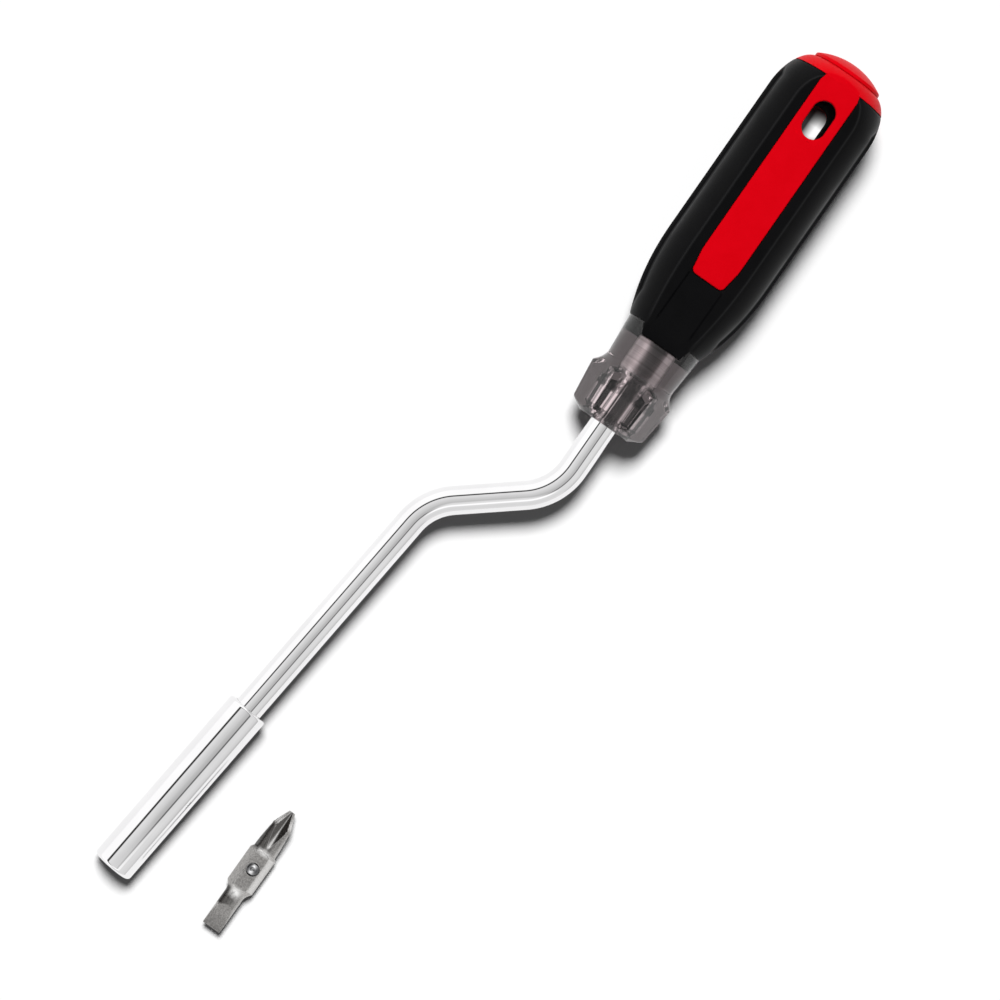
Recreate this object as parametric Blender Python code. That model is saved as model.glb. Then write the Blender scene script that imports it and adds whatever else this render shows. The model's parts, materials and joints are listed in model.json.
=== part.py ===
"""Offset multi-bit screwdriver with one loose double-ended bit, in metres, +Z up.

The driver is modelled along +X from the mouth of its bit socket, with its bends in the XY plane.
It is then laid on the ground as it rests there: on the rim of the socket mouth and on the two
lower ridges of the grip. The bit lies beside the socket on one flat of its hex.
"""

import math

import bmesh
import bpy
from mathutils import Vector

MM = 0.001

# Fits between pieces
MOULD_GAP = 0.15 * MM
SEAT_GAP = 0.3 * MM
SOCKET_CLEARANCE = 0.15 * MM
CUT_PAST = 3.0 * MM

# Shaft, bent twice so that the butt of the handle comes back near the line of the socket
SHAFT_DIAMETER = 7.2 * MM
LOWER_LENGTH = 117.7 * MM
OFFSET_LENGTH = 31.5 * MM
STUB_LENGTH = 20.2 * MM
LOWER_BEND = math.radians(45.0)
HANDLE_LEAN = math.radians(6.1)
BEND_RADIUS = 15.5 * MM
SHAFT_IN_HANDLE = 70.0 * MM
SHAFT_END_CHAMFER = 0.5 * MM

# Swaged wings that lock the shaft in the bolster
WING_START = 1.8 * MM
WING_LENGTH = 10.2 * MM
WING_RISE = 1.4 * MM
WING_HEIGHT = 1.4 * MM
WING_THICKNESS = 2.2 * MM

# Bit socket
SOCKET_DIAMETER = 10.7 * MM
SOCKET_LENGTH = 51.0 * MM
SOCKET_DEPTH = 20.5 * MM
MOUTH_CHAMFER = 0.6 * MM
SHOULDER_ROUND = 0.8 * MM
DETENT_GROOVE_PLACE = 3.4 * MM
DETENT_GROOVE_WIDTH = 2.4 * MM
DETENT_GROOVE_DEPTH = 0.35 * MM

# Bolster: a tapered hex with a turned front, a waisted neck and a stepped spigot
BOLSTER_FRONT_RADIUS = 7.3 * MM
BOLSTER_CHAMFER_SLOPE = 1.5
BOLSTER_FRONT_CORNERS = 20.1 * MM
BOLSTER_REAR_CORNERS = 23.1 * MM
BOLSTER_HEX_LENGTH = 12.0 * MM
BOLSTER_FALL_LENGTH = 4.1 * MM
NECK_RADIUS = 9.45 * MM
NECK_LENGTH = 10.1 * MM
SPIGOT_LENGTH = 14.0 * MM
SPIGOT_NOSE_RADIUS = 6.0 * MM
SPIGOT_NOSE_LENGTH = 12.0 * MM

# Grip: a swell behind the neck, a straight barrel and an elliptic shoulder at the butt
GRIP_FRONT_RADIUS = 10.4 * MM
GRIP_RADIUS = 14.65 * MM
GRIP_LENGTH = 74.3 * MM
SWELL_LENGTH = 23.9 * MM
SWELL_EASE = 2.2
SHOULDER_LENGTH = 12.0 * MM
SHOULDER_BASE = 8.2 * MM
SHOULDER_UNDER_GRIP = 8.5 * MM
FRONT_FACE_DROP = 1.9 * MM
RIDGE_HALF_WIDTH = 8.3 * MM
VALLEY_SHARE = 0.64
VALLEY_DEPTH = 0.5 * MM
GRIP_WALL = 2.1 * MM
FRONT_WALL = 1.45 * MM
CREASE_ANGLE = math.radians(71.0)
CREASE_DEPTH = 0.3 * MM
CREASE_FRONT_RAMP = 16.0 * MM
CREASE_REAR_RAMP = 4.0 * MM
CREASE_MARGIN = 1.5 * MM
CREASE_EASE = 3
LEAST_CREASE = 0.05
SIDE_SINK_SHARE = 0.25
LEAST_RIDGE_ANGLE = math.radians(12.0)
TONGUE_LENGTH = 3.0 * MM
TONGUE_TIP_HALF_WIDTH = 5.5 * MM
TONGUE_ROOT_HALF_WIDTH = 6.7 * MM

# Hard core: red panels in the grip's windows, and the ring at the butt
PANEL_START = 16.4 * MM
PANEL_NOSE_HALF_WIDTH = 4.65 * MM
PANEL_HALF_WIDTH = 5.4 * MM
PANEL_NOSE_LENGTH = 6.0 * MM
PANEL_NOSE_CORNER = 1.4 * MM
PANEL_RECESS = 0.35 * MM
RING_LENGTH = 3.0 * MM
LEAST_PANEL_ANGLE = math.radians(4.0)

# Lanyard slot and its liner
SLOT_LENGTH = 10.1 * MM
SLOT_WIDTH = 5.9 * MM
SLOT_FROM_BUTT = 10.3 * MM
LINER_WALL = 0.6 * MM
LINER_INSET = 0.8 * MM

# Butt cap: a domed disc on a spigot
CAP_RADIUS = 9.3 * MM
CAP_EDGE = 0.6 * MM
CAP_DOME_HEIGHT = 2.6 * MM
CAP_SPIGOT_RADIUS = 5.5 * MM
CAP_SPIGOT_LENGTH = 4.2 * MM

# Double-ended bit, along its own +X from the slotted blade to the cross point
BIT_FLATS = 6.35 * MM
BIT_HEX_LENGTH = 9.5 * MM
BLADE_REACH = 17.0 * MM
BLADE_DIAMETER = 5.0 * MM
BLADE_THICKNESS = 1.0 * MM
BLADE_GRIND_LENGTH = 7.0 * MM
BLADE_GRIND_EASE = 4
BLADE_FLARE = 2.6 * MM
POINT_REACH = 17.4 * MM
POINT_SHANK_DIAMETER = 6.1 * MM
POINT_NECK_DIAMETER = 5.4 * MM
POINT_CONE_LENGTH = 4.2 * MM
POINT_TIP_DIAMETER = 1.7 * MM
POINT_FLARE = 0.9 * MM
FLUTE_LENGTH = 10.4 * MM
FLUTE_RUNOUT = 5.0 * MM
FLUTE_ROOT_RADIUS = 0.75 * MM
FLUTE_TIP_RADIUS = 0.45 * MM

# Ball detent in the bit's upper flat
BALL_ALONG = 0.55 * MM
BALL_DIAMETER = 3.175 * MM
BALL_PROUD = 0.6 * MM
BALL_CLEARANCE = 0.1 * MM
BALL_HOLE_DEPTH = 5.0 * MM
STAKE_DEPTH = 0.3 * MM
STAKE_INSET = 0.3 * MM
SPRING_WIRE = 0.25 * MM
SPRING_DIAMETER = 2.2 * MM
SPRING_TURNS = 3

# Where the loose bit lies, from the socket mouth
BIT_ALONG = 21.35 * MM
BIT_BESIDE = 26.6 * MM
BIT_TURN = math.radians(5.5)

# Facets
ROUND_SIDES = 32
SHAFT_SIDES = 24
SMALL_SIDES = 24
BEND_STEPS = 10
ARC_STEPS = 6
SWELL_STEPS = 8
BARREL_STEPS = 3
SHOULDER_STEPS = 5
RING_STEPS = 3
ROUND_STEPS = 3
LOBE_STEPS = 4
SPRING_STEPS = 12
WIRE_RESOLUTION = 1
LAY_ROUNDS = 6
SHARP_ANGLE = math.radians(30.0)

# Sizes that follow from the ones above
SHAFT_RADIUS = SHAFT_DIAMETER / 2
SOCKET_RADIUS = SOCKET_DIAMETER / 2
GRIP_FRONT = BOLSTER_HEX_LENGTH + BOLSTER_FALL_LENGTH + NECK_LENGTH
GRIP_REAR = GRIP_FRONT + GRIP_LENGTH
TONGUE_FRONT = GRIP_FRONT - TONGUE_LENGTH
SWELL_END = GRIP_FRONT + SWELL_LENGTH
SHOULDER_START = GRIP_REAR - SHOULDER_UNDER_GRIP
FACE_HEIGHT = math.sqrt(GRIP_RADIUS**2 - RIDGE_HALF_WIDTH**2)
FACE_FRONT = GRIP_FRONT_RADIUS - FRONT_FACE_DROP
CORE_RADIUS = FACE_HEIGHT - VALLEY_DEPTH - GRIP_WALL
SPIGOT_RADIUS = FACE_FRONT - FRONT_WALL
SPIGOT_STEP = GRIP_FRONT + SPIGOT_LENGTH
SPIGOT_END = SPIGOT_STEP + SPIGOT_NOSE_LENGTH
PANEL_FRONT = GRIP_FRONT + PANEL_START
CORE_FRONT = SPIGOT_STEP + SEAT_GAP
RING_START = GRIP_REAR + SEAT_GAP
RING_END = RING_START + RING_LENGTH
SLOT_PLACE = GRIP_REAR - SLOT_FROM_BUTT
CAP_START = RING_END + SEAT_GAP
CUT_THROUGH = 2 * GRIP_RADIUS
LINER_HALF_HEIGHT = FACE_HEIGHT - PANEL_RECESS - LINER_INSET
BIT_RADIUS = BIT_FLATS / math.sqrt(3)
BALL_RADIUS = BALL_DIAMETER / 2
BALL_HEIGHT = BIT_FLATS / 2 + BALL_PROUD - BALL_RADIUS
BALL_HOLE_RADIUS = BALL_RADIUS + BALL_CLEARANCE
BALL_HOLE_FLOOR = BIT_FLATS / 2 - BALL_HOLE_DEPTH


def finish_material(name, colour, roughness, metallic=0.0, transmission=0.0):
    """A plain Principled finish."""
    material = bpy.data.materials.new(name)
    material.use_nodes = True
    shader = material.node_tree.nodes["Principled BSDF"]
    shader.inputs["Base Color"].default_value = (*colour, 1.0)
    shader.inputs["Roughness"].default_value = roughness
    shader.inputs["Metallic"].default_value = metallic
    shader.inputs["Transmission Weight"].default_value = transmission
    return material


def add_piece(name, bm, material, parent):
    """Turns a finished bmesh into a named object under its parent."""
    bmesh.ops.recalc_face_normals(bm, faces=bm.faces)
    mesh = bpy.data.meshes.new(name)
    bm.to_mesh(mesh)
    bm.free()
    mesh.shade_smooth()
    mesh.set_sharp_from_angle(angle=SHARP_ANGLE)
    if material:
        mesh.materials.append(material)
    piece = bpy.data.objects.new(name, mesh)
    bpy.context.collection.objects.link(piece)
    piece.parent = parent
    return piece


def add_tool(name, bm, parent):
    """A shape that only joins or cuts others."""
    tool = add_piece(name, bm, None, parent)
    tool.hide_render = True
    tool.display_type = "WIRE"
    return tool


def combine(piece, operation, tool):
    """Leaves a live Boolean on the piece."""
    step = piece.modifiers.new(tool.name, "BOOLEAN")
    step.operation = operation
    step.object = tool


def add_empty(name, location, turn, parent=None):
    """A named place, turned about Z."""
    empty = bpy.data.objects.new(name, None)
    bpy.context.collection.objects.link(empty)
    empty.location = location
    empty.rotation_euler = (0, 0, turn)
    empty.parent = parent
    return empty


def spaced(start, end, steps):
    """Even steps from start up to, but not including, end."""
    return [start + (end - start) * i / steps for i in range(steps)]


def circle(x, radius, sides=ROUND_SIDES, first=0.0):
    """A ring of points round the X axis, the first one at an angle from straight up."""
    angles = spaced(first, first + 2 * math.pi, sides)
    return [Vector((x, radius * math.sin(a), radius * math.cos(a))) for a in angles]


def hexagon(x, corner_radius):
    """A hexagon round the X axis with flats above and below."""
    angles = [math.radians(30 + 60 * i) for i in range(6)]
    return [Vector((x, corner_radius * math.sin(a), corner_radius * math.cos(a))) for a in angles]


def arc(centre_x, centre_y, radius, start, end, steps=ARC_STEPS):
    """Points on an arc in a plane, both ends included. Angles are in degrees."""
    angles = [math.radians(a) for a in spaced(start, end, steps) + [end]]
    return [(centre_x + radius * math.cos(a), centre_y + radius * math.sin(a)) for a in angles]


def loft(rings):
    """A closed skin over rings that have the same number of points."""
    bm = bmesh.new()
    loops = [[bm.verts.new(point) for point in ring] for ring in rings]
    for near, far in zip(loops, loops[1:]):
        for i in range(len(near)):
            bm.faces.new((near[i - 1], near[i], far[i], far[i - 1]))
    bm.faces.new(loops[0])
    bm.faces.new(loops[-1])
    return bm


def turned(profile, sides=ROUND_SIDES, first=0.0):
    """A solid of revolution about X from points of place and radius."""
    return loft([circle(x, radius, sides, first) for x, radius in profile])


def upright_prism(outline, half_height):
    """A plan outline drawn up and down from the XY plane."""
    heights = (-half_height, half_height)
    return loft([[Vector((x, y, z)) for x, y in outline] for z in heights])


def plan_direction(heading):
    """Unit vector in the XY plane."""
    return Vector((math.cos(heading), math.sin(heading), 0))


def bend_stations(corner, heading_in, heading_out):
    """Centres and headings round one bend, tangent to the straight runs beside it."""
    turn = heading_out - heading_in
    side = math.copysign(1, turn)
    start = corner - BEND_RADIUS * math.tan(abs(turn) / 2) * plan_direction(heading_in)
    hub = start + side * BEND_RADIUS * plan_direction(heading_in + math.pi / 2)
    headings = spaced(heading_in, heading_out, BEND_STEPS) + [heading_out]
    return [(hub - side * BEND_RADIUS * plan_direction(h + math.pi / 2), h) for h in headings]


def barrel_radius(h):
    """Outer radius of the handle at h behind the bolster's front face."""
    if h < SWELL_END:
        share = max(0.0, (h - GRIP_FRONT) / SWELL_LENGTH)
        return GRIP_FRONT_RADIUS + (GRIP_RADIUS - GRIP_FRONT_RADIUS) * (1 - (1 - share) ** SWELL_EASE)
    if h < SHOULDER_START:
        return GRIP_RADIUS
    share = min(1.0, (h - SHOULDER_START) / SHOULDER_LENGTH)
    return SHOULDER_BASE + (GRIP_RADIUS - SHOULDER_BASE) * math.sqrt(1 - share**2)


def face_height(h):
    """Height of the front and back ridges over the handle's axis."""
    share = min(1.0, max(0.0, (h - GRIP_FRONT) / SWELL_LENGTH))
    return FACE_FRONT + (FACE_HEIGHT - FACE_FRONT) * (1 - (1 - share) ** SWELL_EASE)


def ring_of_quadrant(h, quadrant):
    """A whole ring from points that run from the top to the side, mirrored both ways."""
    right = quadrant + [(y, -z) for y, z in reversed(quadrant[:-1])]
    left = [(-y, z) for y, z in reversed(right[1:-1])]
    return [Vector((h, y, z)) for y, z in right + left]


def polar(radius, angle):
    """Section point at an angle from the top."""
    return radius * math.sin(angle), radius * math.cos(angle)


def clipped_ring(h, radius, height):
    """A circle with a flat above and below it, no wider than the circle allows."""
    start = math.acos(min(height / radius, math.cos(LEAST_PANEL_ANGLE)))
    quadrant = [(0.0, radius * math.cos(start))]
    angles = spaced(start, math.pi / 2, 2 * LOBE_STEPS) + [math.pi / 2]
    quadrant += [polar(radius, a) for a in angles]
    return ring_of_quadrant(h, quadrant)


def grip_ring(h):
    """The lobed section of the grip: face valley, ridge, corner lobe, crease and side lobe."""
    radius = barrel_radius(h)
    start = math.acos(min(face_height(h) / radius, math.cos(LEAST_RIDGE_ANGLE)))
    ridge, height = polar(radius, start)
    floor = height - VALLEY_DEPTH * ridge / RIDGE_HALF_WIDTH
    front = (h - GRIP_FRONT - CREASE_MARGIN) / CREASE_FRONT_RAMP
    rear = (GRIP_REAR - CREASE_MARGIN - h) / CREASE_REAR_RAMP
    strength = min(1.0, max(LEAST_CREASE, min(front, rear)))
    crease = math.pi / 2 - (math.pi / 2 - CREASE_ANGLE) * strength
    sunk = CREASE_DEPTH * strength
    quadrant = [(0.0, floor), (VALLEY_SHARE * ridge, floor)]
    for i in range(LOBE_STEPS + 1):
        share = i / LOBE_STEPS
        quadrant.append(polar(radius - sunk * share**CREASE_EASE, start + (crease - start) * share))
    quadrant.append(polar(radius - sunk * SIDE_SINK_SHARE, (crease + math.pi / 2) / 2))
    quadrant.append((radius, 0.0))
    return ring_of_quadrant(h, quadrant)


def handle_stations(start, end):
    """Places along the handle that follow its swell, barrel and shoulder."""
    places = spaced(GRIP_FRONT, SWELL_END, SWELL_STEPS)
    places += spaced(SWELL_END, SHOULDER_START, BARREL_STEPS)
    places += spaced(SHOULDER_START, GRIP_REAR, SHOULDER_STEPS)
    places += spaced(GRIP_REAR, RING_END, RING_STEPS)
    return [start] + [h for h in places if start < h < end] + [end]


def panel_outline(grow, rear):
    """Plan of a red panel: straight sides, a tapered nose and rounded nose corners."""
    nose = PANEL_FRONT - grow
    waist = PANEL_FRONT + PANEL_NOSE_LENGTH
    corner = PANEL_NOSE_CORNER + grow
    half_nose = PANEL_NOSE_HALF_WIDTH + grow
    half = PANEL_HALF_WIDTH + grow
    side = [(rear, half), (waist, half)]
    side += arc(nose + corner, half_nose - corner, corner, 90, 180)
    return side + [(x, -y) for x, y in reversed(side)]


def slot_outline(grow):
    """Plan of the lanyard slot, round at both ends."""
    radius = SLOT_WIDTH / 2 + grow
    reach = (SLOT_LENGTH - SLOT_WIDTH) / 2
    front = arc(SLOT_PLACE - reach, 0, radius, 90, 270, 2 * ARC_STEPS)
    return front + arc(SLOT_PLACE + reach, 0, radius, -90, 90, 2 * ARC_STEPS)


def tongue_outline(grow):
    """Plan of the tongue at the front of each face of the grip."""
    tip = TONGUE_TIP_HALF_WIDTH + grow
    root = TONGUE_ROOT_HALF_WIDTH + grow
    front = TONGUE_FRONT - grow
    return [(front, -tip), (GRIP_FRONT, -root), (GRIP_FRONT, root), (front, tip)]


def wing_outline(grow):
    """Plan of both swaged wings and the shaft between them."""
    reach = SHAFT_RADIUS + WING_HEIGHT + grow
    foot = SHAFT_RADIUS / 2
    start = WING_START - grow
    end = WING_START + WING_LENGTH + grow
    side = [(start, foot), (start + WING_RISE, reach), (end - WING_RISE, reach), (end, foot)]
    return side + [(x, -y) for x, y in reversed(side)]


def make_shaft(driver, handle, finish):
    """The bent round bar, with two wings inside the bolster."""
    first = Vector((LOWER_LENGTH, 0, 0))
    second = first + OFFSET_LENGTH * plan_direction(-LOWER_BEND)
    end = second + (STUB_LENGTH + SHAFT_IN_HANDLE) * plan_direction(HANDLE_LEAN)
    stations = bend_stations(first, 0.0, -LOWER_BEND)
    stations += bend_stations(second, -LOWER_BEND, HANDLE_LEAN)
    inset = SHAFT_END_CHAMFER * plan_direction(0.0)
    tail = SHAFT_END_CHAMFER * plan_direction(HANDLE_LEAN)
    start = Vector((SOCKET_DEPTH + SEAT_GAP, 0, 0))
    stations = [(start, 0.0), (start + inset, 0.0)] + stations
    stations += [(end - tail, HANDLE_LEAN), (end, HANDLE_LEAN)]
    radii = [SHAFT_RADIUS] * len(stations)
    radii[0] = radii[-1] = SHAFT_RADIUS - SHAFT_END_CHAMFER
    rings = []
    for (centre, heading), radius in zip(stations, radii):
        across = plan_direction(heading + math.pi / 2)
        angles = spaced(0, 2 * math.pi, SHAFT_SIDES)
        offsets = [(radius * math.sin(a), radius * math.cos(a)) for a in angles]
        rings.append([centre + y * across + Vector((0, 0, z)) for y, z in offsets])
    shaft = add_piece("shaft", loft(rings), finish, driver)
    wings = add_tool("wing_blank", upright_prism(wing_outline(0), WING_THICKNESS / 2), handle)
    combine(shaft, "UNION", wings)


def make_bit_socket(driver, finish):
    """The sleeve on the shaft: a hex socket with a detent groove in front, a round bore behind."""
    rear = SOCKET_LENGTH - SHOULDER_ROUND
    profile = [(0, SOCKET_RADIUS - MOUTH_CHAMFER), (MOUTH_CHAMFER, SOCKET_RADIUS)]
    profile += arc(rear, SOCKET_RADIUS - SHOULDER_ROUND, SHOULDER_ROUND, 90, 0, ROUND_STEPS)
    socket = add_piece("bit_socket", turned(profile), finish, driver)
    hex_radius = (BIT_FLATS + SOCKET_CLEARANCE) / math.sqrt(3)
    hex_hole = loft([hexagon(-CUT_PAST, hex_radius), hexagon(SOCKET_DEPTH, hex_radius)])
    half_groove = DETENT_GROOVE_WIDTH / 2
    groove_radius = BIT_FLATS / 2 + BALL_PROUD + DETENT_GROOVE_DEPTH
    groove_ends = (DETENT_GROOVE_PLACE - half_groove, DETENT_GROOVE_PLACE + half_groove)
    bore_radius = SHAFT_RADIUS + MOULD_GAP
    bore_ends = (SOCKET_DEPTH - SEAT_GAP, SOCKET_LENGTH + CUT_PAST)
    groove = turned([(x, groove_radius) for x in groove_ends])
    bore = turned([(x, bore_radius) for x in bore_ends], SHAFT_SIDES)
    for name, shape in (("hex_hole", hex_hole), ("detent_groove", groove), ("shaft_bore", bore)):
        combine(socket, "DIFFERENCE", add_tool(name, shape, driver))


def make_bolster(handle, finish):
    """The smoked front of the handle, turned and then given six tapered flats."""
    fall_start = BOLSTER_HEX_LENGTH
    neck_start = fall_start + BOLSTER_FALL_LENGTH
    outside = BOLSTER_REAR_CORNERS / 2
    shoulder = (outside - BOLSTER_FRONT_RADIUS) / BOLSTER_CHAMFER_SLOPE
    profile = [(0, BOLSTER_FRONT_RADIUS), (shoulder, outside), (fall_start, outside)]
    for i in range(1, ARC_STEPS):
        share = i / ARC_STEPS
        profile.append((fall_start + BOLSTER_FALL_LENGTH * share,
                        NECK_RADIUS + (outside - NECK_RADIUS) * (1 - share) ** 2))
    neck_end = GRIP_FRONT - MOULD_GAP
    profile += [(neck_start, NECK_RADIUS), (neck_end, GRIP_FRONT_RADIUS - MOULD_GAP)]
    profile += [(neck_end, SPIGOT_RADIUS), (SPIGOT_STEP, SPIGOT_RADIUS)]
    profile += [(SPIGOT_STEP, SPIGOT_NOSE_RADIUS), (SPIGOT_END, SPIGOT_NOSE_RADIUS)]
    bolster = add_piece("bolster", turned(profile), finish, handle)
    taper = (BOLSTER_REAR_CORNERS - BOLSTER_FRONT_CORNERS) / 2 / BOLSTER_HEX_LENGTH
    hex_ends = (-CUT_PAST, SPIGOT_END + CUT_PAST)
    flats = loft([hexagon(h, BOLSTER_FRONT_CORNERS / 2 + taper * h) for h in hex_ends])
    combine(bolster, "INTERSECT", add_tool("bolster_flats", flats, handle))
    recess = add_tool("tongue_recess", upright_prism(tongue_outline(MOULD_GAP), CUT_THROUGH), handle)
    inside = turned([(0, SPIGOT_RADIUS), (SPIGOT_END, SPIGOT_RADIUS)])
    combine(recess, "DIFFERENCE", add_tool("recess_floor", inside, handle))
    combine(bolster, "DIFFERENCE", recess)
    bore_radius = SHAFT_RADIUS + MOULD_GAP
    bore = turned([(-CUT_PAST, bore_radius), (SPIGOT_END + CUT_PAST, bore_radius)], SHAFT_SIDES)
    combine(bolster, "DIFFERENCE", add_tool("bolster_bore", bore, handle))
    pocket = upright_prism(wing_outline(MOULD_GAP), WING_THICKNESS / 2 + MOULD_GAP)
    combine(bolster, "DIFFERENCE", add_tool("wing_pocket", pocket, handle))


def make_handle_core(handle, finish):
    """The hard core: a barrel on the spigot and shaft, a panel on each face, a ring at the butt."""
    profile = [(CORE_FRONT, SPIGOT_RADIUS), (PANEL_FRONT, SPIGOT_RADIUS), (PANEL_FRONT, CORE_RADIUS)]
    profile += [(RING_START, CORE_RADIUS), (RING_START, GRIP_RADIUS), (RING_END, GRIP_RADIUS)]
    core = add_piece("handle_core", turned(profile), finish, handle)
    slab = upright_prism(panel_outline(0, RING_START + RING_LENGTH / 2), CUT_THROUGH)
    combine(core, "UNION", add_tool("panel_slab", slab, handle))
    rings = []
    for h in handle_stations(CORE_FRONT - CUT_PAST, RING_END):
        rings.append(clipped_ring(h, barrel_radius(h), face_height(h) - PANEL_RECESS))
    combine(core, "INTERSECT", add_tool("core_envelope", loft(rings), handle))
    nose_radius = SPIGOT_NOSE_RADIUS + MOULD_GAP
    cap_radius = CAP_SPIGOT_RADIUS + MOULD_GAP
    cap_floor = CAP_START - CAP_SPIGOT_LENGTH - SEAT_GAP
    bore_radius = SHAFT_RADIUS + MOULD_GAP
    bores = {
        "nose_bore": turned([(0, nose_radius), (SPIGOT_END + SEAT_GAP, nose_radius)]),
        "core_bore": turned([(0, bore_radius), (SHAFT_IN_HANDLE + SEAT_GAP, bore_radius)], SHAFT_SIDES),
        "cap_bore": turned([(cap_floor, cap_radius), (RING_END + CUT_PAST, cap_radius)]),
        "slot_hole": upright_prism(slot_outline(0), CUT_THROUGH),
        "liner_pocket": upright_prism(slot_outline(LINER_WALL + MOULD_GAP), LINER_HALF_HEIGHT + MOULD_GAP),
    }
    for name, shape in bores.items():
        combine(core, "DIFFERENCE", add_tool(name, shape, handle))


def make_cushion_grip(handle, finish):
    """The soft overmould: a lobed shell, open over both panels, with a tongue on each face in front."""
    rings = [grip_ring(h) for h in handle_stations(TONGUE_FRONT, GRIP_REAR)]
    grip = add_piece("cushion_grip", loft(rings), finish, handle)
    spigot = SPIGOT_RADIUS + MOULD_GAP
    barrel = CORE_RADIUS + MOULD_GAP
    step = PANEL_FRONT - MOULD_GAP
    cavity = [(TONGUE_FRONT - CUT_PAST, spigot), (step, spigot)]
    cavity += [(step, barrel), (GRIP_REAR + CUT_PAST, barrel)]
    combine(grip, "DIFFERENCE", add_tool("grip_cavity", turned(cavity), handle))
    window = upright_prism(panel_outline(MOULD_GAP, GRIP_REAR + CUT_PAST), CUT_THROUGH)
    combine(grip, "DIFFERENCE", add_tool("panel_window", window, handle))
    for name, side in (("left_notch", 1), ("right_notch", -1)):
        outline = [
            (TONGUE_FRONT - CUT_PAST, side * TONGUE_TIP_HALF_WIDTH),
            (TONGUE_FRONT, side * TONGUE_TIP_HALF_WIDTH),
            (GRIP_FRONT, side * TONGUE_ROOT_HALF_WIDTH),
            (GRIP_FRONT, side * CUT_THROUGH),
            (TONGUE_FRONT - CUT_PAST, side * CUT_THROUGH),
        ]
        combine(grip, "DIFFERENCE", add_tool(name, upright_prism(outline, CUT_THROUGH), handle))


def make_slot_liner(handle, finish):
    """The black lining of the lanyard slot, behind a lip of the core on each face."""
    blank = upright_prism(slot_outline(LINER_WALL), LINER_HALF_HEIGHT)
    liner = add_piece("slot_liner", blank, finish, handle)
    hole = upright_prism(slot_outline(0), LINER_HALF_HEIGHT + CUT_PAST)
    combine(liner, "DIFFERENCE", add_tool("lanyard_hole", hole, handle))


def make_butt_cap(handle, finish):
    """The raised disc at the end of the handle, on a spigot in the core."""
    edge = CAP_START + CAP_EDGE
    sphere = (CAP_RADIUS**2 + CAP_DOME_HEIGHT**2) / (2 * CAP_DOME_HEIGHT)
    rim = math.degrees(math.asin(CAP_RADIUS / sphere))
    profile = [(CAP_START - CAP_SPIGOT_LENGTH, CAP_SPIGOT_RADIUS), (CAP_START, CAP_SPIGOT_RADIUS)]
    profile += [(CAP_START, CAP_RADIUS)]
    profile += arc(edge + CAP_DOME_HEIGHT - sphere, 0, sphere, rim, rim / ARC_STEPS, ARC_STEPS - 1)
    add_piece("butt_cap", turned(profile), finish, handle)


def make_bit_body(rest, well, finish):
    """Slotted blade, hex and cross point in one: turned, cut to a hex, then ground."""
    blade_end = -BIT_HEX_LENGTH / 2
    point_start = BIT_HEX_LENGTH / 2
    blade_radius = BLADE_DIAMETER / 2
    blank = BIT_RADIUS + SOCKET_CLEARANCE
    profile = [(-BLADE_REACH, blade_radius)]
    for i in range(ARC_STEPS + 1):
        share = i / ARC_STEPS
        radius = blade_radius + (blank - blade_radius) * share**2
        profile.append((blade_end - BLADE_FLARE * (1 - share), radius))
    profile += [(point_start, blank), (point_start + POINT_FLARE, POINT_SHANK_DIAMETER / 2)]
    profile += [(POINT_REACH - POINT_CONE_LENGTH, POINT_NECK_DIAMETER / 2)]
    profile += [(POINT_REACH, POINT_TIP_DIAMETER / 2)]
    body = add_piece("bit_body", turned(profile, first=math.pi / ROUND_SIDES), finish, rest)
    hex_bar = loft([hexagon(x, BIT_RADIUS) for x in (-BLADE_REACH - CUT_PAST, POINT_REACH + CUT_PAST)])
    combine(body, "INTERSECT", add_tool("bit_flats", hex_bar, rest))
    for name, side in (("upper_grind", 1), ("lower_grind", -1)):
        combine(body, "DIFFERENCE", add_tool(name, grind_cutter(side), rest))
    for quarter in range(4):
        flute = flute_cutter(quarter * math.pi / 2)
        combine(body, "DIFFERENCE", add_tool(f"flute_{quarter + 1}", flute, rest))
    combine(body, "DIFFERENCE", add_tool("ball_hole", ball_hole(), well))


def grind_cutter(side):
    """One hollow-ground face of the blade: thin at the tip, then a quick rise out of the steel."""
    tip = -BLADE_REACH
    half = BLADE_THICKNESS / 2
    rise = BLADE_DIAMETER / 2 + CUT_PAST - half
    shares = spaced(0, 1, ARC_STEPS) + [1]
    length = BLADE_GRIND_LENGTH * (rise / (BLADE_DIAMETER / 2 - half)) ** (1 / BLADE_GRIND_EASE)
    face = [(tip + length * share, half + rise * share**BLADE_GRIND_EASE) for share in shares]
    outline = [(tip - CUT_PAST, half)] + face + [(tip - CUT_PAST, half + rise)]
    widths = (-BLADE_DIAMETER, BLADE_DIAMETER)
    return loft([[Vector((x, y, side * z)) for x, z in outline] for y in widths])


def flute_cutter(turn):
    """A right-angled groove beside the cross point's wings, which runs out on the shank."""
    start = POINT_REACH - FLUTE_LENGTH
    tip = POINT_REACH + CUT_PAST
    fall = (FLUTE_ROOT_RADIUS - FLUTE_TIP_RADIUS) / (FLUTE_LENGTH - FLUTE_RUNOUT)
    floors = [
        (start, POINT_SHANK_DIAMETER / 2),
        (start + FLUTE_RUNOUT, FLUTE_ROOT_RADIUS),
        (tip, FLUTE_TIP_RADIUS - fall * CUT_PAST),
    ]
    up = Vector((0, math.sin(turn), math.cos(turn)))
    across = Vector((0, math.cos(turn), -math.sin(turn)))
    rings = []
    for x, floor in floors:
        spread = POINT_SHANK_DIAMETER - floor
        root = Vector((x, 0, 0)) + floor * up
        rings.append([root, root + spread * (up + across), root + spread * (up - across)])
    return loft(rings)


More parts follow.
